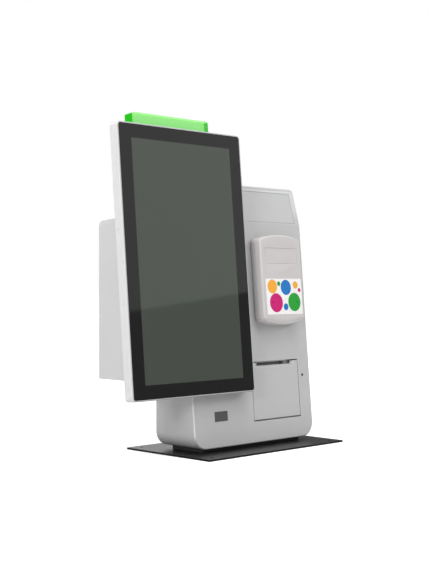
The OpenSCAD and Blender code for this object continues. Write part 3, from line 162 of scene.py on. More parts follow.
class KioskStage(bpy.types.PropertyGroup):
    """Camera and light."""
    eye: FloatVectorProperty(name="Camera", description="Place of the camera", size=3, unit="LENGTH",
                             subtype="TRANSLATION", default=(-1.7792, -1.7228, 0.3446))
    turn: FloatProperty(name="Turn", description="Turn of the camera from straight ahead",
                        default=math.radians(44.75), subtype="ANGLE")
    shift: FloatVectorProperty(name="Shift", description="Shift of the picture, in parts of its long side",
                               default=(0.0005, -0.0010), size=2)
    lens: FloatProperty(name="Lens", description="Focal length for the sensor's long side", unit="CAMERA",
                        default=72.75)
    sky: FloatProperty(name="Sky", description="Strength of the light from all round", default=0.25, min=0)
    over: power("Over", "Power of the lamp overhead", 95)
    side: power("Side", "Power of the lamp at the left", 31)
    near: power("Near", "Power of the lamp low at the far left", 46)
    fill: power("Fill", "Power of the key lamp at the front right", 41)


# Finishes

class Wiring:
    """A node tree being wired."""
    prefix = ""

    def add(self, kind, inputs=(), out=0, **settings):
        """An output of a new node, with values or other outputs on its inputs."""
        node = self.nodes.new(self.prefix + kind)
        for name, value in settings.items():
            setattr(node, name, value)
        for socket, value in dict(inputs).items():
            self.feed(node.inputs[socket], value)
        return node.outputs[out]

    def feed(self, socket, value):
        """Puts a value or another node's output on an input."""
        if isinstance(value, bpy.types.NodeSocket):
            self.links.new(value, socket)
        else:
            socket.default_value = value


class Finish(Wiring):
    """A material being wired: one Principled surface whose patterns read Object coordinates."""
    prefix = "ShaderNode"

    def __init__(self, name, sockets=()):
        self.material = bpy.data.materials.new(name)
        self.material.use_nodes = True
        tree = self.material.node_tree
        self.nodes, self.links = tree.nodes, tree.links
        self.surface = self.nodes["Principled BSDF"]
        self.place = self.add("TexCoord", out="Object")
        for socket, value in dict(sockets).items():
            self.surface.inputs[socket].default_value = value

    def math(self, operation, a, b=0.0):
        return self.add("Math", {0: a, 1: b}, operation=operation)

    def axis(self, name, source=None):
        return self.add("SeparateXYZ", {0: source or self.place}, out=name)

    def spread(self, scale):
        """Coordinates stretched by a factor along each axis."""
        return self.add("VectorMath", {0: self.place, 1: scale}, operation="MULTIPLY")

    def noise(self, grain, detail=2.0, place=None):
        """Noise whose grains are about so many metres across."""
        return self.add("TexNoise", {"Vector": place or self.place, "Scale": 1 / grain, "Detail": detail})

    def cells(self, grain, out="Distance"):
        """Cells that are about so many metres across."""
        return self.add("TexVoronoi", {"Vector": self.place, "Scale": 1 / grain}, out=out)

    def ranged(self, value, low, high, to_low, to_high):
        """A value brought softly from one range to another, and held at its ends."""
        return self.add("MapRange", {0: value, 1: low, 2: high, 3: to_low, 4: to_high},
                        interpolation_type="SMOOTHSTEP")

    def mixed(self, share, a, b):
        """The first colour where the share is 0, the second where it is 1."""
        whole = [(*c, 1.0) if not isinstance(c, bpy.types.NodeSocket) and len(c) == 3 else c for c in (a, b)]
        return self.add("Mix", {0: share, 6: whole[0], 7: whole[1]}, out=2, data_type="RGBA")

    def inside(self, value, low, high, soft):
        """1 where a value lies between two limits, with soft ends."""
        return self.math("MULTIPLY", self.ranged(value, low - soft, low + soft, 0.0, 1.0),
                         self.ranged(value, high - soft, high + soft, 1.0, 0.0))

    def front_rise(self):
        """How far up the leaning front a point lies."""
        y = self.math("MULTIPLY", self.math("SUBTRACT", self.axis("Y"), FOOT.y), math.sin(LEAN))
        z = self.math("MULTIPLY", self.math("SUBTRACT", self.axis("Z"), FOOT.z), math.cos(LEAN))
        return self.math("ADD", y, z)

    def front_depth(self):
        """How far behind the leaning front a point lies."""
        y = self.math("MULTIPLY", self.math("SUBTRACT", self.axis("Y"), FOOT.y), math.cos(LEAN))
        z = self.math("MULTIPLY", self.math("SUBTRACT", self.axis("Z"), FOOT.z), math.sin(LEAN))
        return self.math("SUBTRACT", y, z)

    def paint(self, value):
        self.feed(self.surface.inputs["Base Color"], value)
        return self

    def gloss(self, value):
        self.feed(self.surface.inputs["Roughness"], value)
        return self

    def bump(self, height, distance):
        self.feed(self.surface.inputs["Normal"], self.add("Bump", {"Height": height, "Distance": distance}))
        return self


def tones(rgb, share):
    """A darker and a lighter tone of a colour."""
    return [tuple(min(1.0, c * (1 + s)) for c in rgb) for s in (-share, share)]


def coated(name, rgb, rough, grain=0.0011, deep=0.00003, drift=0.05, uneven=0.06, sockets=()):
    """Paint or moulded plastic: a broad drift of tone, a fine grain and a slightly uneven sheen."""
    f = Finish(name, sockets)
    dark, light = tones(rgb, drift)
    speck = f.noise(grain * 4, 1.0)
    shade = f.math("ADD", f.math("MULTIPLY", f.noise(0.11, 3.0), 0.75), f.math("MULTIPLY", speck, 0.25))
    f.tone = f.mixed(shade, dark, light)
    f.paint(f.tone)
    f.gloss(f.ranged(f.noise(0.02, 3.0), 0.3, 0.7, rough - uneven, rough + uneven))
    return f.bump(f.noise(grain, 2.0), deep)


def coat(*given, **settings):
    """The material of a plain coat."""
    return coated(*given, **settings).material


def base_coat(name, rgb, rough):
    """Smooth black coat that shines on the flat of a plate and is dull on its cut edges."""
    f = coated(name, rgb, rough, grain=0.0014, deep=0.000006, drift=0.12, uneven=0.02, sockets={"IOR": 1.48})
    flat = f.math("ABSOLUTE", f.axis("Z", f.add("TexCoord", out="Normal")))
    f.feed(f.surface.inputs["Specular IOR Level"], f.ranged(flat, 0.3, 0.9, 0.04, 0.5))
    return f.material


def lip_shaded(name, rgb, rough, front, foot, lip):
    """Smooth plastic with painted shade: a greyer tone on the lip at the front, and darker still where it
    turns under at its foot.
    """
    f = coated(name, rgb, rough, grain=0.0007, deep=0.000015, drift=0.02)
    grey, _ = tones(rgb, 0.32)
    dark, _ = tones(rgb, 0.75)
    turning, turned = foot + 0.0013, foot + 0.0007
    # Painted shade: a greyer band over the front lip, and a darker one where the frame turns under at its
    # foot
    edge = f.ranged(f.front_depth(), front + lip, front, 0.0, 1.0)
    under = f.ranged(f.front_rise(), turning, turned, 0.0, 1.0)
    return f.paint(f.mixed(under, f.mixed(edge, f.tone, grey), dark)).material


def door_edges():
    """The printer door's left and right edges, and its lower and upper edges up the leaning front."""
    corners = corners_of("printer_door")
    across, up = [p.x for p in corners], [rise_of(p) for p in corners]
    return min(across), max(across), min(up), max(up)


def gap_shaded(name, rgb, rough, margin, inner=0.0):
    """Paint with painted shade behind the front, in a band between two distances out from the door's edge,
    where the gap lies in shade.
    """
    f = coated(name, rgb, rough)
    x0, x1, low, high = door_edges()
    # Near black painted shade for the gap, and the depths behind the front where it starts and where it is
    # full
    gap_shade = (0.05, 0.05, 0.05)
    gap_shade_from, gap_shade_full = 0.0005, 0.0008
    boxes = []
    for out in (margin, inner):
        across = f.inside(f.axis("X"), x0 - out, x1 + out, SOFT)
        up = f.inside(f.front_rise(), low - out, high + out, SOFT)
        boxes.append(f.math("MULTIPLY", across, up))
    band = f.math("SUBTRACT", *boxes)
    behind = f.ranged(f.front_depth(), gap_shade_from, gap_shade_full, 0.0, 1.0)
    f.tone = f.mixed(f.math("MULTIPLY", band, behind), f.tone, gap_shade)
    return f.paint(f.tone)


def tower_paint(name, rgb, rough):
    """The tower's paint, with a painted highlight over the front edges, painted light that grows towards the
    crown, and painted shade in a darker grey inside.
    """
    f = gap_shaded(name, rgb, rough, margin=0.0030)
    low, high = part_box("body_shell")
    # A darker grey on the inner faces: painted shade where little light gets in
    painted_inner_shade = (0.42, 0.42, 0.425)
    skin = 0.0014
    room_low, room_high, room_short = 0.060, 0.440, 0.060
    across = f.inside(f.axis("X"), low.x + skin, high.x - skin, SOFT)
    up = f.inside(f.front_rise(), room_low, room_high, SOFT)
    deep = f.inside(f.front_depth(), skin, high.y - FOOT.y - room_short, SOFT)
    inner = f.math("MULTIPLY", f.math("MULTIPLY", across, up), deep)
    # Painted highlight along the front's upright edges
    highlight_from, highlight_full = 0.0028, 0.0012
    aside = f.math("ABSOLUTE", f.axis("X"))
    edge = f.math("MULTIPLY", f.ranged(aside, high.x - highlight_from, high.x - highlight_full, 0.0, 1.0),
                  f.ranged(f.front_depth(), highlight_from, highlight_full, 0.0, 1.0))
    # Painted light: the paint grows lighter towards the crown, as if lit from above
    crown_from, crown_full = high.z - 0.080, high.z - 0.040
    crown = f.ranged(f.axis("Z"), crown_from, crown_full, 0.0, 1.0)
    _, painted_edge_highlight = tones(rgb, 0.45)
    _, upper = tones(rgb, 0.22)
    shade = f.mixed(crown, f.tone, upper)
    return f.paint(f.mixed(edge, f.mixed(inner, shade, painted_inner_shade), painted_edge_highlight)).material


def gap_shadow_edged(name, rgb, rough, node, line):
    """Smooth paint with a painted shadow: a darker line along the edges of an upright plate, as if cast into
    the gap round it.
    """
    f = coated(name, rgb, rough, grain=0.0006, deep=0.00001)
    low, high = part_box(node)
    # Painted shadow: darker in a thin line at each edge
    middle = f.math("MULTIPLY", f.inside(f.axis("X"), low.x + line, high.x - line, line / 2),
                    f.inside(f.axis("Z"), low.z + line, high.z - line, line / 2))
    dark, _ = tones(rgb, 0.28)
    return f.paint(f.mixed(middle, dark, f.tone)).material


def metal(name, rgb, rough, along=(1.0, 1.0, 1.0), grain=0.0006, deep=0.00001, drift=0.10):
    """Bare metal, with scratches drawn out along the axis whose factor is small."""
    f = Finish(name, {"Metallic": 1.0})
    dark, light = tones(rgb, drift)
    lines = f.noise(grain, 3.0, f.spread(along))
    f.paint(f.mixed(f.noise(0.009, 3.0), dark, light))
    f.gloss(f.ranged(lines, 0.3, 0.7, rough - 0.08, rough + 0.10))
    return f.bump(lines, deep).material


def spangled(name, rgb, rough):
    """Galvanised sheet with its crystal pattern."""
    f = Finish(name, {"Metallic": 1.0})
    dark, light = tones(rgb, 0.16)
    flakes = f.cells(0.0045, out="Color")
    grey = f.add("RGBToBW", {0: flakes})
    f.paint(f.mixed(grey, dark, light))
    f.gloss(f.ranged(grey, 0.0, 1.0, rough - 0.08, rough + 0.12))
    return f.bump(f.noise(0.0008), 0.000008).material


def screen_glass(name, rgb, border, low, high):
    """Glass with a printed border and the dark panel behind its middle."""
    f = Finish(name, {"IOR": 1.40, "Specular IOR Level": 0.5})
    edge = 0.0011
    across = f.inside(f.axis("X"), low[0], high[0], edge)
    up = f.inside(f.front_rise(), low[1], high[1], edge)
    shown = f.math("MULTIPLY", across, up)
    dark, light = tones(rgb, 0.04)
    f.paint(f.mixed(shown, border, f.mixed(f.noise(0.20, 2.0), dark, light)))
    return f.gloss(f.ranged(f.noise(0.035, 4.0), 0.35, 0.75, 0.025, 0.045)).material


def light_plastic(name, face, end, top):
    """Clear green plastic that glows at its two ends, with a yellower tint near its upper face."""
    f = Finish(name, {"IOR": 1.49})
    normal = f.add("TexCoord", out="Normal")
    along = f.ranged(f.math("ABSOLUTE", f.axis("X", normal)), 0.45, 0.85, 0.0, 1.0)
    upward = f.ranged(f.axis("Z", normal), 0.45, 0.85, 0.0, 1.0)
    tint_from, tint_full, tint = 0.655, 0.684, 0.55
    rise = f.ranged(f.axis("Z"), tint_from, tint_full, 0.0, tint)
    deep, _ = tones(end, 0.88)
    body = f.mixed(upward, f.mixed(rise, face, top), top)
    f.paint(f.mixed(along, body, deep))
    # Painted light: the plastic glows, strongly on its two end faces and faintly elsewhere
    f.feed(f.surface.inputs["Emission Color"], f.mixed(along, body, end))
    f.feed(f.surface.inputs["Specular IOR Level"], f.ranged(along, 0.0, 1.0, 0.5, 0.1))
    f.feed(f.surface.inputs["Transmission Weight"], f.math("MULTIPLY", f.math("SUBTRACT", 1.0, along), 0.97))
    f.feed(f.surface.inputs["Emission Strength"], f.ranged(along, 0.0, 1.0, 0.02, 1.0))
    return f.gloss(f.ranged(f.noise(0.015, 3.0), 0.3, 0.7, 0.10, 0.16)).bump(f.noise(0.02), 0.000002).material


def wound_paper(name, axis_y, axis_z):
    """Paper wound on a roll: fine rings on its ends and soft fibre on its face."""
    f = Finish(name, {"Roughness": 0.85, "Sheen Weight": 0.15})
    y = f.math("SUBTRACT", f.axis("Y"), axis_y)
    z = f.math("SUBTRACT", f.axis("Z"), axis_z)
    out = f.math("SQRT", f.math("ADD", f.math("MULTIPLY", y, y), f.math("MULTIPLY", z, z)))
    layers = 0.0006
    rings = f.math("SINE", f.math("MULTIPLY", out, 2 * math.pi / layers))
    uneven = f.math("ADD", f.math("MULTIPLY", rings, 0.5), f.noise(0.004, 4.0))
    f.paint(f.mixed(f.ranged(uneven, -0.3, 1.3, 0.0, 1.0), (0.74, 0.735, 0.70), (0.86, 0.86, 0.835)))
    return f.bump(uneven, 0.00004).material


def card(name):
    """Grey-brown card, wound at a slant."""
    f = Finish(name, {"Roughness": 0.9})
    strip = 0.022
    slant = f.math("ADD", f.axis("X"), f.math("MULTIPLY", f.axis("Y"), 0.6))
    wrap = f.math("SINE", f.math("MULTIPLY", slant, 2 * math.pi / strip))
    fibre = f.noise(0.0012, 4.0, f.spread((0.3, 1.0, 1.0)))
    shade = f.ranged(f.math("ADD", wrap, fibre), -0.8, 1.6, 0.0, 1.0)
    f.paint(f.mixed(shade, (0.25, 0.165, 0.095), (0.40, 0.285, 0.175)))
    return f.bump(fibre, 0.00005).material


def circuit(name, mask, front_y=None):
    """A circuit board: solder mask with fine tracks, and dark packages where it stands proud of its face."""
    f = Finish(name, {"Roughness": 0.35})
    track = f.add("TexBrick", {"Vector": f.add("CombineXYZ", {0: f.axis("X"), 1: f.axis("Z")}), "Scale": 1.0,
                               "Mortar Size": 0.0003, "Brick Width": 0.006, "Row Height": 0.0035}, out="Fac")
    pads = f.ranged(f.cells(0.004), 0.16, 0.20, 1.0, 0.0)
    board = f.mixed(pads, f.mixed(track, tones(mask, 0.2)[0], tones(mask, 0.6)[1]), (0.62, 0.50, 0.22))
    if front_y is None:
        front_y = f.math("ADD", f.math("MULTIPLY", f.front_rise(), math.sin(LEAN)), FOOT.y)
    proud = f.ranged(f.math("SUBTRACT", front_y, f.axis("Y")), 0.0002, 0.0004, 0.0, 1.0)
    f.paint(f.mixed(proud, board, (0.018, 0.018, 0.02)))
    return f.bump(f.math("ADD", track, pads), 0.00003).material


# Pieces

# How near two corners are one, up to which angle faces are one, and what is too small to be an edge or a face
SAME_PLACE = 2e-6
FLAT = math.radians(0.4)
NO_LENGTH = 1e-7
NO_AREA = 1e-9

# From which angle an edge is folded, alone and on the hull, and how near the hull it lies
FOLD = math.radians(32)
HULL_FOLD = math.radians(28)
ON_HULL = 0.00015


def merged(node):
    """A frame node's mesh with its triangles joined into faces."""
    bm = bmesh.new()
    bm.from_mesh(frame["nodes"][node].data)
    bmesh.ops.remove_doubles(bm, verts=bm.verts, dist=SAME_PLACE)
    bmesh.ops.dissolve_limit(bm, angle_limit=FLAT, verts=bm.verts, edges=bm.edges)
    bm.normal_update()
    return bm


def outer_edges(bm, where=None):
    """The folded edges on the outline of the shape: those where two faces of its hull meet."""
    hull = bmesh.new()
    for v in bm.verts:
        hull.verts.new(v.co)
    bmesh.ops.convex_hull(hull, input=hull.verts)
    hull.normal_update()
    planes = [(f.normal.copy(), f.normal.dot(f.verts[0].co)) for f in hull.faces if f.calc_area() > NO_AREA]
    hull.free()
    found = []
    for e in bm.edges:
        if len(e.link_faces) != 2 or e.calc_face_angle_signed() < FOLD:
            continue
        middle = (e.verts[0].co + e.verts[1].co) / 2
        if where and not where(middle):
            continue
        near = [n for n, d in planes if abs(n.dot(middle) - d) < ON_HULL]
        if near and min(n.dot(near[0]) for n in near) < math.cos(HULL_FOLD):
            found.append(e)
    return found


def as_object(name, bm, materials):
    """An object in the scene with a mesh's finished shape."""
    mesh = bpy.data.meshes.new(name)
    bm.to_mesh(mesh)
    bm.free()
    for m in materials:
        mesh.materials.append(m)
    piece = bpy.data.objects.new(name, mesh)
    bpy.context.scene.collection.objects.link(piece)
    return piece


def in_order(bm):
    """Lists corners and faces by place, since the order that a bevel leaves changes from run to run."""
    for parts, place in ((bm.verts, lambda v: v.co), (bm.faces, lambda f: f.calc_center_median())):
        ranks = {part: i for i, part in enumerate(sorted(parts, key=lambda part: tuple(place(part))))}
        parts.sort(key=ranks.get)


def shaped(name, bm, materials, smooth=35):
    """An object with smooth rounds and flat faces."""
    in_order(bm)
    piece = as_object(name, bm, materials)
    piece.data.shade_smooth()
    piece.data.set_sharp_from_angle(angle=math.radians(smooth))
    weigh = piece.modifiers.new("Face weights", "WEIGHTED_NORMAL")
    weigh.keep_sharp = True
    return settled(piece)


def settled(piece):
    """The piece with its modifiers worked into its mesh."""
    piece.update_tag()
    bpy.context.view_layer.update()
    graph = bpy.context.evaluated_depsgraph_get()
    shown = piece.evaluated_get(graph)
    mesh = bpy.data.meshes.new_from_object(shown, preserve_all_data_layers=True, depsgraph=graph)
    mesh.name = piece.name
    piece.modifiers.clear()
    piece.data = mesh
    return piece


def stand_for(piece, *nodes):
    """The piece rides with the frame nodes that it stands for, which are hidden."""
    first = frame["nodes"][nodes[0]]
    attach(piece, first["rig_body"])
    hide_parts(*nodes)
    return piece


def softened(node, radius, material, segments=3, where=None, first=()):
    """A copy of a frame node with its outer edges rounded, standing for the node.

    first holds the edges with a radius of their own: the radius, and which places it is for."""
    bm = merged(node)
    for size, places in (*first, (radius, where)):
        bmesh.ops.bevel(bm, geom=outer_edges(bm, places), offset=size, offset_type="OFFSET",
                        segments=segments, profile=0.5, affect="EDGES", clamp_overlap=False)
        bmesh.ops.dissolve_degenerate(bm, dist=NO_LENGTH, edges=bm.edges)
        bm.normal_update()
    return stand_for(shaped(node + "_shell", bm, [material]), node)


def finish_nodes(material, *nodes):
    """Gives frame nodes that keep their shape a better finish."""
    for node in nodes:
        frame["nodes"][node].material_slots[0].material = material


# Repeated pieces

class Tree(Wiring):
    """A geometry node tree being wired, with named inputs for its sizes."""

    def __init__(self, name, inputs):
        self.tree = bpy.data.node_groups.new(name, "GeometryNodeTree")
        self.nodes, self.links = self.tree.nodes, self.tree.links
        self.sockets = {}
        for label, (kind, value) in inputs.items():
            socket = self.tree.interface.new_socket(label, in_out="INPUT", socket_type="NodeSocket" + kind)
            self.sockets[label] = (socket.identifier, value)
        self.tree.interface.new_socket("Geometry", in_out="OUTPUT", socket_type="NodeSocketGeometry")
        self.given = self.nodes.new("NodeGroupInput").outputs

    def made(self, name, geometry):
        """The finished mesh as an object, with every copy made real."""
        real = self.add("GeometryNodeRealizeInstances", {0: geometry})
        painted = self.add("GeometryNodeSetMaterial", {0: real, "Material": self.given["Material"]})
        self.links.new(painted, self.nodes.new("NodeGroupOutput").inputs[0])
        piece = bpy.data.objects.new(name, bpy.data.meshes.new(name))
        bpy.context.scene.collection.objects.link(piece)
        modifier = piece.modifiers.new("Build", "NODES")
        modifier.node_group = self.tree
        for identifier, value in self.sockets.values():
            modifier[identifier] = value
        return settled(piece)


def louvres(name, middle, rows, step, width, radius, material):
    """Pressed hoods over a column of vent slots, each a half round drawn along its slot."""
    t = Tree(name, {"Middle": ("Vector", middle), "Rows": ("Int", rows), "Step": ("Float", step),
                    "Width": ("Float", width), "Radius": ("Float", radius),
                    "Material": ("Material", material)})
    half = t.add("ShaderNodeMath", {0: t.given["Width"], 1: 0.5}, operation="MULTIPLY")
    left = t.add("ShaderNodeMath", {0: half, 1: -1.0}, operation="MULTIPLY")
    line = t.add("GeometryNodeCurvePrimitiveLine", {
        "Start": t.add("ShaderNodeCombineXYZ", {0: left}), "End": t.add("ShaderNodeCombineXYZ", {0: half})})
    arc = t.add("GeometryNodeCurveArc", {"Resolution": 10, "Radius": t.given["Radius"], "Start Angle": 0.0,
                                         "Sweep Angle": math.pi, "Connect Center": True})
    hood = t.add("GeometryNodeCurveToMesh", {0: line, "Profile Curve": arc, "Fill Caps": True})
    steps = t.add("ShaderNodeMath", {0: t.given["Rows"], 1: 1.0}, operation="SUBTRACT")
    drop = t.add("ShaderNodeMath", {0: steps, 1: -0.5}, operation="MULTIPLY")
    first = t.add("ShaderNodeMath", {0: drop, 1: t.given["Step"]}, operation="MULTIPLY")
    lowest = t.add("ShaderNodeCombineXYZ", {2: first})
    start = t.add("ShaderNodeVectorMath", {0: t.given["Middle"], 1: lowest})
    rows_at = t.add("GeometryNodeMeshLine", {"Count": t.given["Rows"], "Start Location": start,
                                             "Offset": t.add("ShaderNodeCombineXYZ", {2: t.given["Step"]})})
    return t.made(name, t.add("GeometryNodeInstanceOnPoints", {0: rows_at, "Instance": hood}))


def lamp_lenses(name, first, step, lamps, radius, material):
    """A row of domed lenses over the light bar's lamps."""
    t = Tree(name, {"First": ("Vector", first), "Step": ("Vector", step), "Count": ("Int", lamps),
                    "Radius": ("Float", radius), "Material": ("Material", material)})
    dome = t.add("GeometryNodeMeshUVSphere", {"Segments": 16, "Rings": 8, "Radius": t.given["Radius"]})
    row = t.add("GeometryNodeMeshLine", {"Count": t.given["Count"], "Start Location": t.given["First"],
                                         "Offset": t.given["Step"]})
    return t.made(name, t.add("GeometryNodeInstanceOnPoints", {0: row, "Instance": dome}))


class KIOSK_OT_tower(bpy.types.Operator):
    """Rounds and paints the tower, its panels and its base"""
    bl_idname = "kiosk.tower"
    bl_label = "Tower and base"
    # Width of the painted shadow line along the sign plate's edges
    line: length("Sign line", "Darker line along the sign plate's edges", 0.0012)

    def execute(self, context):
        c, e = context.scene.kiosk_colours, context.scene.kiosk_edges
        paint = tower_paint("Tower paint", c.tower, 0.40)
        panel = coat("Panel paint", c.panel, 0.45, grain=0.0008)
        softened("body_shell", e.tower, paint)
        softened("rear_panel", e.small, panel)
        softened("sign_panel", e.small, gap_shadow_edged("Sign plate", c.sign, 0.36, "sign_panel", self.line))
        softened("base_plate", e.small, base_coat("Black powder coat", c.base, 0.33))
        softened("plinth", e.plate, coat("Matt black", (0.004, 0.004, 0.004), 0.65))
        return {"FINISHED"}


class KIOSK_OT_vents(bpy.types.Operator):
    """Sets pressed hoods over the vent slots at the back"""
    bl_idname = "kiosk.vents"
    bl_label = "Vent hoods"
    step: length("Step", "Distance from slot to slot", 0.007)
    width: length("Width", "Width of a hood", 0.0512)
    radius: length("Radius", "How far a hood stands out", 0.0019)
    lift: length("Lift", "How far above its slot's middle a hood lies", 0.0012)
    pitch: length("Pitch", "Distance from column to column near the top", 0.075)
    down: length("Down", "Distance from the tower's top to the middle of the upper columns", 0.090)
    upper: count("Upper rows", "Slots in each column near the top", 9)
    lower: count("Lower rows", "Slots by the power supply and by the fan", 7)

    def execute(self, context):
        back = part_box("rear_panel")[1].y
        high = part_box("body_shell")[1].z - self.down
        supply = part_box("power_supply")
        supply_x = (supply[0].x + supply[1].x) / 2
        fan = sum(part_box("fan_frame"), Vector()) / 2
        paint = {"rear_panel": "Panel paint", "side_housing": "Side plastic"}
        for name, carrier, x, z, rows in (
                ("vent_hoods_left", "rear_panel", self.pitch, high, self.upper),
                ("vent_hoods_middle", "rear_panel", 0.0, high, self.upper),
                ("vent_hoods_right", "rear_panel", -self.pitch, high, self.upper),
                ("vent_hoods_supply", "rear_panel", supply_x, supply[1].z, self.lower),
                ("vent_hoods_fan", "side_housing", fan.x, fan.z, self.lower)):
            material = bpy.data.materials[paint[carrier]]
            place = (x, back, z + self.lift)
            hoods = louvres(name, place, rows, self.step, self.width, self.radius, material)
            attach(hoods, "cabinet")
        return {"FINISHED"}


class KIOSK_OT_side_housing(bpy.types.Operator):
    """Rounds and finishes the housing at the tower's side"""
    bl_idname = "kiosk.side_housing"
    bl_label = "Side housing"

    def execute(self, context):
        c, e = context.scene.kiosk_colours, context.scene.kiosk_edges
        softened("side_housing", e.side, coat("Side plastic", c.side, 0.40))
        return {"FINISHED"}


class KIOSK_OT_display(bpy.types.Operator):
    """Finishes the display: white frame, bordered glass, rear cover and bracket"""
    bl_idname = "kiosk.display"
    bl_label = "Display"
    margin_side: length("Side border", "Black border at the sides of the screen", 0.0305)
    margin_end: length("End border", "Black border above and below the screen", 0.0270)
    # How far behind the front the painted shade on the frame's lip reaches
    lip: length("Lip", "Greyer lip at the front of the frame", 0.0010)

    def execute(self, context):
        c, e = context.scene.kiosk_colours, context.scene.kiosk_edges
        corners = corners_of("display_frame")
        depths = [depth_of(p) for p in corners]
        front, back = min(depths), max(depths)
        foot = min(rise_of(p) for p in corners)
        white = lip_shaded("White plastic", c.bezel, 0.33, front, foot, self.lip)
        softened("display_frame", e.bezel, white, segments=5,
                 first=[(e.bezel_back, lambda p: depth_of(p) > back - NEAR)])
        across = [p.x for p in corners_of("touch_glass")]
        up = [rise_of(p) for p in corners_of("touch_glass")]
        low = (min(across) + self.margin_side, min(up) + self.margin_end)
        high = (max(across) - self.margin_side, max(up) - self.margin_end)
        softened("touch_glass", e.small, screen_glass("Bordered glass", c.screen, c.border, low, high))
        softened("display_rear_cover", e.plate, coat("Cover paint", (0.50, 0.51, 0.52), 0.45))
        softened("display_bracket", e.plate, coat("Black bracket paint", (0.022, 0.022, 0.024), 0.5))
        finish_nodes(metal("Panel back", (0.52, 0.53, 0.54), 0.35, (0.1, 1.0, 1.0)), "lcd_panel")
        finish_nodes(circuit("Display board", (0.015, 0.10, 0.045)), "display_board")
        return {"FINISHED"}


class KIOSK_OT_light_bar(bpy.types.Operator):
    """Finishes the green light bar, and sets a lens over each lamp inside it"""
    bl_idname = "kiosk.light_bar"
    bl_label = "Light bar"
    lamps: count("Lamps", "How many lamps stand on the board", 12)
    radius: length("Lens", "Radius of a lamp's lens", 0.0017)

    def execute(self, context):
        c, e = context.scene.kiosk_colours, context.scene.kiosk_edges
        front = min(depth_of(p) for p in corners_of("light_bar_cover"))
        green = light_plastic("Green plastic", c.light_face, c.light_end, c.light_top)
        softened("light_bar_cover", e.light, green, where=lambda p: depth_of(p) < front + NEAR)
        softened("light_bar_base", e.light, bpy.data.materials["Cover paint"])
        finish_nodes(coat("White board", (0.72, 0.72, 0.68), 0.4, grain=0.0009), "light_bar_board")
        finish_nodes(spangled("Zinc sheet", (0.60, 0.61, 0.62), 0.32), "light_bar_bracket")
        low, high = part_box("light_bar_board")
        room, behind, sunk = 0.0003, 0.0001, 0.0006
        pitch = (high.x - low.x + 2 * room) / (self.lamps + 1)
        place = (low.x - room + pitch, (low.y + high.y) / 2 + behind, high.z - sunk)
        lens = Finish("Lamp lens", {"Transmission Weight": 0.7, "IOR": 1.45,
                                    "Base Color": (0.86, 0.95, 0.86, 1.0)})
        lens.gloss(lens.ranged(lens.noise(0.002), 0.3, 0.7, 0.05, 0.15))
        row = lamp_lenses("lamp_lenses", place, (pitch, 0, 0), self.lamps, self.radius, lens.material)
        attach(row, "cabinet")
        return {"FINISHED"}


# The label's discs: ink, place across and up the film, and radius, in metres
LABEL_DISCS = [
    (1, 0.020, 0.060, 0.0150), (2, 0.063, 0.058, 0.0165), (3, 0.030, 0.025, 0.0205),
    (4, 0.088, 0.026, 0.0200), (4, 0.041, 0.066, 0.0050), (1, 0.094, 0.063, 0.0080),
    (2, 0.060, 0.016, 0.0075), (3, 0.106, 0.052, 0.0045),
]


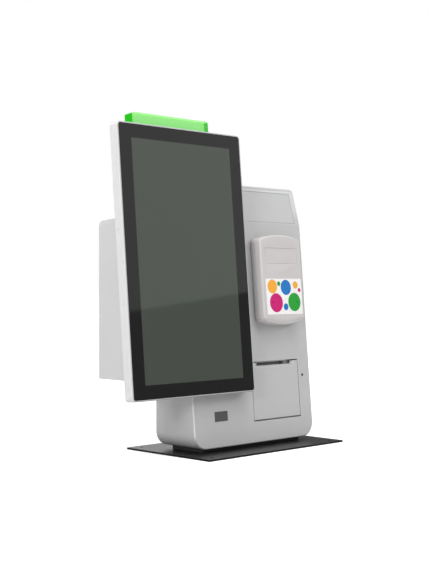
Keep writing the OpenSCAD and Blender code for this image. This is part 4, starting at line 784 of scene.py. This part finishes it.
class KIOSK_OT_reader(bpy.types.Operator):
    """Rounds the card reader, and lays a plain film with coloured discs in its recess"""
    bl_idname = "kiosk.reader"
    bl_label = "Card reader"

    def execute(self, context):
        c, e = context.scene.kiosk_colours, context.scene.kiosk_edges
        shell = coat("Reader plastic", c.reader, 0.38, grain=0.0008, deep=0.00002, drift=0.03)
        face = min(depth_of(p) for p in corners_of("reader_front"))
        self.shell(e, shell, face)
        softened("reader_back", e.reader_back, shell, segments=5, where=lambda p: depth_of(p) > -NEAR)
        window = coat("Reader window", c.inset, 0.30, grain=0.0006, deep=0.00001, drift=0.02, uneven=0.02)
        softened("reader_window", e.small, window)
        finish_nodes(circuit("Reader board", (0.015, 0.10, 0.045)), "reader_board")
        self.label(c, face)
        return {"FINISHED"}

    def shell(self, e, material, face, steps=8):
        """The front case: its rim turns over tightly at the top and sides, and widely below."""
        bm = merged("reader_front")
        up = on_front(0, 0, 1) - on_front(0, 0, 0)
        flat = [f for f in bm.faces if all(depth_of(v.co) < face + 5 * SAME_PLACE for v in f.verts)]
        bmesh.ops.delete(bm, geom=flat, context="FACES_ONLY")
        bmesh.ops.delete(bm, geom=[g for g in bm.edges if g.is_wire], context="EDGES")
        bare = [g for g in bm.edges if g.is_boundary]
        rim = self.loop(bare, max(bare, key=lambda g: g.verts[0].co.x))
        recesses = [g for g in bare if g not in rim]
        rings = {v: [v] for g in rim for v in g.verts}
        for v, ring in rings.items():
            out = sum((g.link_faces[0].normal for g in v.link_edges if g in rim), Vector()).normalized()
            down = max(0.0, -out.dot(up))
            size = e.reader + (e.reader_low - e.reader) * down * down
            start = Vector(v.co)
            for i in range(1, steps + 1):
                turn = math.pi / 2 * i / steps
                inward, forward = size * (1 - math.cos(turn)), size * math.sin(turn)
                back = on_front(0, size - forward, 0) - on_front(0, 0, 0)
                ring.append(bm.verts.new(start - inward * out + back))
            v.co = start + on_front(0, size, 0) - on_front(0, 0, 0)
        edge_ring = []
        for g in rim:
            a, b = g.link_loops[0].link_loop_next.vert, g.link_loops[0].vert
            for i in range(steps):
                bm.faces.new((rings[a][i], rings[b][i], rings[b][i + 1], rings[a][i + 1]))
            edge_ring.append(bm.edges.get((rings[a][steps], rings[b][steps])))
        bmesh.ops.triangle_fill(bm, use_beauty=True, edges=edge_ring + recesses)
        bmesh.ops.recalc_face_normals(bm, faces=bm.faces)
        stand_for(shaped("reader_front_shell", bm, [material]), "reader_front")

    def loop(self, edges, first):
        """The edges joined end to end with the first."""
        found = [first]
        ends = set(first.verts)
        while True:
            near = [g for g in edges if g not in found and ends & set(g.verts)]
            if not near:
                return found
            found += near
            ends |= {v for g in near for v in g.verts}

    def label(self, c, face, proud=0.00006, sunk=0.0001, steps=56):
        """A white film with discs of four colours, each a thin raised print."""
        film = coat("White film", (0.80, 0.80, 0.79), 0.30, grain=0.0005, deep=0.000005, drift=0.02)
        inks = [coat(name, rgb, 0.32, grain=0.0006, deep=0.000004, drift=0.015) for name, rgb in (
            ("Orange ink", c.disc_orange), ("Blue ink", c.disc_blue), ("Magenta ink", c.disc_magenta),
            ("Green ink", c.disc_green))]
        bm = merged("reader_label")
        corners = [v.co for v in bm.verts]
        left, low = min(p.x for p in corners), min(rise_of(p) for p in corners)
        turns = [2 * math.pi * i / steps for i in range(steps)]
        for ink, x, rise, radius in LABEL_DISCS:
            rim = [on_front(left + x + radius * math.cos(a), face - proud, low + rise + radius * math.sin(a))
                   for a in turns]
            inner = [on_front(p.x, face + sunk, rise_of(p)) for p in rim]
            outer_ring, inner_ring = [bm.verts.new(p) for p in rim], [bm.verts.new(p) for p in inner]
            faces = [bm.faces.new(outer_ring)]
            for i in range(steps):
                j = (i + 1) % steps
                faces.append(bm.faces.new((inner_ring[i], inner_ring[j], outer_ring[j], outer_ring[i])))
            faces.append(bm.faces.new(inner_ring[::-1]))
            for f in faces:
                f.material_index = ink
        bmesh.ops.recalc_face_normals(bm, faces=bm.faces)
        stand_for(shaped("reader_film", bm, [film, *inks]), "reader_label")


class KIOSK_OT_printer(bpy.types.Operator):
    """Finishes the printer's door, lock, roll, gears, motor, head and cutter"""
    bl_idname = "kiosk.printer"
    bl_label = "Printer"

    def execute(self, context):
        e = context.scene.kiosk_edges
        tower = context.scene.kiosk_colours.tower
        # Painted shade on the door's own edges, where they lie in the gap
        door = gap_shaded("Door paint", tower, 0.40, margin=0.0005, inner=-0.0003)
        softened("printer_door", e.small, door.material)
        roll = sum(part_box("paper_roll"), Vector()) / 2
        finish_nodes(wound_paper("Wound paper", roll.y, roll.z), "paper_roll")
        finish_nodes(card("Card"), "roll_core")
        finish_nodes(self.sheet(), "printer_frame")
        steel = metal("Ground steel", (0.62, 0.62, 0.64), 0.25, (0.05, 1.0, 1.0))
        finish_nodes(steel, "roll_rod", "platen_shaft", "idler_pin", "door_hinge_pins", "cutter_blade")
        rubber = coat("Grey rubber", (0.72, 0.72, 0.725), 0.75, grain=0.0007, deep=0.00004)
        finish_nodes(rubber, "platen_roller")
        finish_nodes(coat("Nylon", (0.70, 0.66, 0.55), 0.42, grain=0.0009), "platen_gear", "idler_gear")
        finish_nodes(metal("Turned brass", (0.70, 0.50, 0.20), 0.28, (0.1, 1.0, 1.0)), "motor_pinion")
        softened("stepper_motor", e.plate, coat("Motor paint", (0.035, 0.035, 0.04), 0.4))
        finish_nodes(metal("Anodised head", (0.22, 0.23, 0.25), 0.38, (0.1, 1.0, 1.0)), "print_head")
        softened("cutter_housing", e.plate, coat("Cutter plastic", (0.44, 0.44, 0.45), 0.50, grain=0.0007))
        finish_nodes(metal("Black oxide", (0.035, 0.035, 0.038), 0.40), "lock_spindle", "lock_barrel")
        return {"FINISHED"}

    def sheet(self):
        """Pale sheet, with painted shade beyond the end of the printer's bay: a darker tone there."""
        f = coated("Printer sheet", (0.66, 0.66, 0.67), 0.55, grain=0.0007)
        bay_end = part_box("cutter_housing")[1].x
        # Painted shade on the sheet beyond the bay's end
        end_shade_from, end_shade_full = bay_end + 0.0008, bay_end + 0.0012
        painted_end_shade = f.ranged(f.axis("X"), end_shade_from, end_shade_full, 0.0, 1.0)
        return f.paint(f.mixed(painted_end_shade, f.tone, (0.25, 0.25, 0.255))).material


class KIOSK_OT_scanner(bpy.types.Operator):
    """Finishes the code scanner: tinted window, module and strap"""
    bl_idname = "kiosk.scanner"
    bl_label = "Code scanner"

    def execute(self, context):
        e = context.scene.kiosk_edges
        f = Finish("Tinted window", {"IOR": 1.46})
        f.paint(f.mixed(f.noise(0.02, 2.0), (0.080, 0.078, 0.078), (0.100, 0.098, 0.098)))
        f.gloss(f.ranged(f.noise(0.006, 3.0), 0.3, 0.7, 0.08, 0.14))
        softened("scanner_window", e.small, f.material)
        softened("scanner_module", e.small, coat("Black plastic", (0.014, 0.014, 0.015), 0.5))
        finish_nodes(bpy.data.materials["Zinc sheet"], "scanner_bracket")
        return {"FINISHED"}


class KIOSK_OT_electrics(bpy.types.Operator):
    """Finishes the power supply, inlet, rocker, computing board, heat sink, sockets and fan"""
    bl_idname = "kiosk.electrics"
    bl_label = "Power and computing"

    def execute(self, context):
        e = context.scene.kiosk_edges
        black = bpy.data.materials["Black plastic"]
        softened("power_supply", e.plate, self.perforated())
        softened("power_inlet", e.plate, black)
        softened("power_switch", e.plate, coat("Rocker plastic", (0.02, 0.02, 0.021), 0.28, grain=0.0007))
        finish_nodes(circuit("Main board", (0.012, 0.085, 0.05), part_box("io_block")[1].y), "main_board")
        finish_nodes(metal("Anodised fins", (0.55, 0.56, 0.58), 0.34, (1.0, 1.0, 0.1)), "heat_sink")
        finish_nodes(metal("Socket shell", (0.58, 0.58, 0.60), 0.28), "io_block")
        finish_nodes(black, "fan_frame", "fan_rotor")
        return {"FINISHED"}

    def perforated(self, step=0.005, hole_radius=0.0014, sheet_from=0.0017):
        """Zinc sheet with rows of round holes."""
        f = Finish("Perforated sheet", {"Metallic": 1.0})
        hole = f.ranged(self.grid(f, step), hole_radius, sheet_from, 0.0, 1.0)
        # The holes are painted near black: painted shade of the inside seen through them
        f.paint(f.mixed(hole, (0.02, 0.02, 0.02), (0.55, 0.56, 0.58)))
        f.gloss(f.ranged(f.noise(0.004), 0.3, 0.7, 0.28, 0.42))
        return f.bump(hole, 0.0004).material

    def grid(self, f, step):
        """Distance from the nearest point of a square grid."""
        away = []
        for name in "XYZ":
            cell = f.math("PINGPONG", f.axis(name), step / 2)
            away.append(f.math("MULTIPLY", cell, cell))
        return f.math("SQRT", f.math("ADD", f.math("ADD", away[0], away[1]), away[2]))


class KIOSK_OT_fasteners(bpy.types.Operator):
    """Finishes the screws"""
    bl_idname = "kiosk.fasteners"
    bl_label = "Fasteners"

    def execute(self, context):
        zinc = metal("Zinc plate", (0.56, 0.56, 0.57), 0.30, grain=0.0009)
        finish_nodes(zinc, *[n for n in frame["nodes"] if n.endswith("_screws")])
        return {"FINISHED"}


# The lamps: name, setting that holds the power, place, width, and whether reflections show it
LAMPS = [
    ("Over lamp", "over", (-0.2, -1.6, 4.0), 2.4, True),
    ("Side lamp", "side", (-1.7, 0.0, 2.3), 1.2, True),
    ("Near lamp", "near", (-3.2, -1.3, 1.0), 0.8, True),
    ("Fill lamp", "fill", (2.0, -2.6, 2.1), 1.2, False),
]
LAMP_AIM = Vector((0, 0, 0.35))

# The cards: name, place they are measured from, heading, turn, distance, reach to both sides, height and glow
CARDS = [
    ("grey_card", (-0.20, -0.05, 0), (0.690, -0.724), math.radians(21), 4.0, (-4.0, 4.0), 0.759, 0.30),
    ("dark_card", (0.02, 0.0, 0), (0.704, 0.710), 0.0, 4.0, (-4.0, -0.05), 3.0, 0.14),
]


class KIOSK_OT_stage(bpy.types.Operator):
    """Sets the floor, the lamps, the surroundings and the camera"""
    bl_idname = "kiosk.stage"
    bl_label = "Stage"

    def execute(self, context):
        s = context.scene.kiosk_stage
        context.scene.view_settings.view_transform = "Standard"
        self.camera(context, s)
        self.world(context, s)
        self.floor()
        for name, setting, place, size, mirrored in LAMPS:
            self.lamp(name, place, size, getattr(s, setting), mirrored)
        for given in CARDS:
            self.card(*given)
        return {"FINISHED"}

    def camera(self, context, s):
        data = bpy.data.cameras.new("Camera")
        data.lens, data.sensor_width = s.lens, SENSOR
        data.shift_x, data.shift_y = s.shift
        camera = bpy.data.objects.new("Camera", data)
        camera.location = s.eye
        camera.rotation_euler = (math.radians(90), 0, -s.turn)
        context.scene.collection.objects.link(camera)
        context.scene.camera = camera

    def world(self, context, s):
        """Even light all round, shown as white behind the object."""
        world = bpy.data.worlds.new("Studio")
        world.use_nodes = True
        nodes, links = world.node_tree.nodes, world.node_tree.links
        seen = self.seen(nodes, links)
        strength = nodes.new("ShaderNodeMapRange")
        strength.inputs["To Min"].default_value = s.sky
        links.new(seen, strength.inputs["Value"])
        links.new(strength.outputs["Result"], nodes["Background"].inputs["Strength"])
        nodes["Background"].inputs["Color"].default_value = (1, 1, 1, 1)
        context.scene.world = world

    def seen(self, nodes, links):
        """1 for rays that show the surroundings: from the camera, a gloss or through glass."""
        path = nodes.new("ShaderNodeLightPath")
        total = path.outputs["Is Camera Ray"]
        for name in ("Is Glossy Ray", "Is Transmission Ray"):
            most = nodes.new("ShaderNodeMath")
            most.operation = "MAXIMUM"
            links.new(total, most.inputs[0])
            links.new(path.outputs[name], most.inputs[1])
            total = most.outputs[0]
        return total

    def floor(self, half=30):
        """A wide pale floor that keeps the object's shadow and fades into the white beyond."""
        bm = bmesh.new()
        bmesh.ops.create_grid(bm, x_segments=2, y_segments=2, size=half)
        f = Finish("Pale floor", {"Base Color": (0.68, 0.68, 0.68, 1), "Roughness": 0.9,
                                  "Specular IOR Level": 0.0, "Emission Color": (1, 1, 1, 1)})
        away = f.add("VectorMath", {0: f.place}, out="Value", operation="LENGTH")
        level = f.add("MapRange", {"Value": away, "From Min": 0.5, "From Max": 2.5,
                                   "To Min": 0.62, "To Max": 1.0}, out="Result")
        glow = f.math("MULTIPLY", self.seen(f.nodes, f.links), level)
        f.feed(f.surface.inputs["Emission Strength"], glow)
        floor = as_object("floor", bm, [f.material])

    def lamp(self, name, place, size, energy, mirrored):
        data = bpy.data.lights.new(name, "AREA")
        data.size, data.energy = size, energy
        lamp = bpy.data.objects.new(name, data)
        lamp.location = place
        lamp.rotation_euler = (LAMP_AIM - lamp.location).to_track_quat("-Z", "Y").to_euler()
        lamp.visible_glossy = lamp.visible_transmission = mirrored
        bpy.context.scene.collection.objects.link(lamp)

    def card(self, name, origin, heading, turn, distance, reach, top, glow):
        """A card that only reflections show. It stands across a heading, turned about its middle."""
        away = Vector((*heading, 0)).normalized()
        across = Vector((-away.y, away.x, 0)) * math.cos(turn) - away * math.sin(turn)
        middle = Vector(origin) + distance * away
        bm = bmesh.new()
        corners = [bm.verts.new(middle + side * across + Vector((0, 0, z)))
                   for side, z in ((reach[0], 0.0), (reach[1], 0.0), (reach[1], top), (reach[0], top))]
        bm.faces.new(corners)
        plain = Finish(name, {"Base Color": (0, 0, 0, 1), "Specular IOR Level": 0.0,
                              "Emission Color": (1, 1, 1, 1), "Emission Strength": glow})
        piece = as_object(name, bm, [plain.material])
        for sight in ("camera", "diffuse", "shadow", "transmission", "volume_scatter"):
            setattr(piece, "visible_" + sight, False)


class KIOSK_PT_panel(bpy.types.Panel):
    """Lists the kiosk's pieces, sizes and colours"""
    bl_idname = "KIOSK_PT_panel"
    bl_label = "Self-service kiosk"
    bl_space_type = "VIEW_3D"
    bl_region_type = "UI"
    bl_category = "Kiosk"

    def draw(self, context):
        for operator in OPERATORS:
            self.layout.operator(operator.bl_idname)
        for group in GROUPS:
            box = self.layout.box()
            for name in GROUPS[group].__annotations__:
                box.prop(getattr(context.scene, group), name)


GROUPS = {"kiosk_colours": KioskColours, "kiosk_edges": KioskEdges, "kiosk_stage": KioskStage}
OPERATORS = (KIOSK_OT_stage, KIOSK_OT_tower, KIOSK_OT_side_housing, KIOSK_OT_vents, KIOSK_OT_display,
             KIOSK_OT_light_bar, KIOSK_OT_reader, KIOSK_OT_printer, KIOSK_OT_scanner, KIOSK_OT_electrics,
             KIOSK_OT_fasteners)
CLASSES = (*GROUPS.values(), *OPERATORS, KIOSK_PT_panel)


def register():
    for c in CLASSES:
        bpy.utils.register_class(c)
    for name, group in GROUPS.items():
        setattr(bpy.types.Scene, name, PointerProperty(type=group))


def unregister():
    for name in GROUPS:
        delattr(bpy.types.Scene, name)
    for c in reversed(CLASSES):
        bpy.utils.unregister_class(c)


def main():
    register()
    bpy.ops.kiosk.stage()
    bpy.ops.kiosk.tower()
    bpy.ops.kiosk.side_housing()
    bpy.ops.kiosk.vents()
    bpy.ops.kiosk.display()
    bpy.ops.kiosk.light_bar()
    bpy.ops.kiosk.reader()
    bpy.ops.kiosk.printer()
    bpy.ops.kiosk.scanner()
    bpy.ops.kiosk.electrics()
    bpy.ops.kiosk.fasteners()


if __name__ == "__main__":
    main()
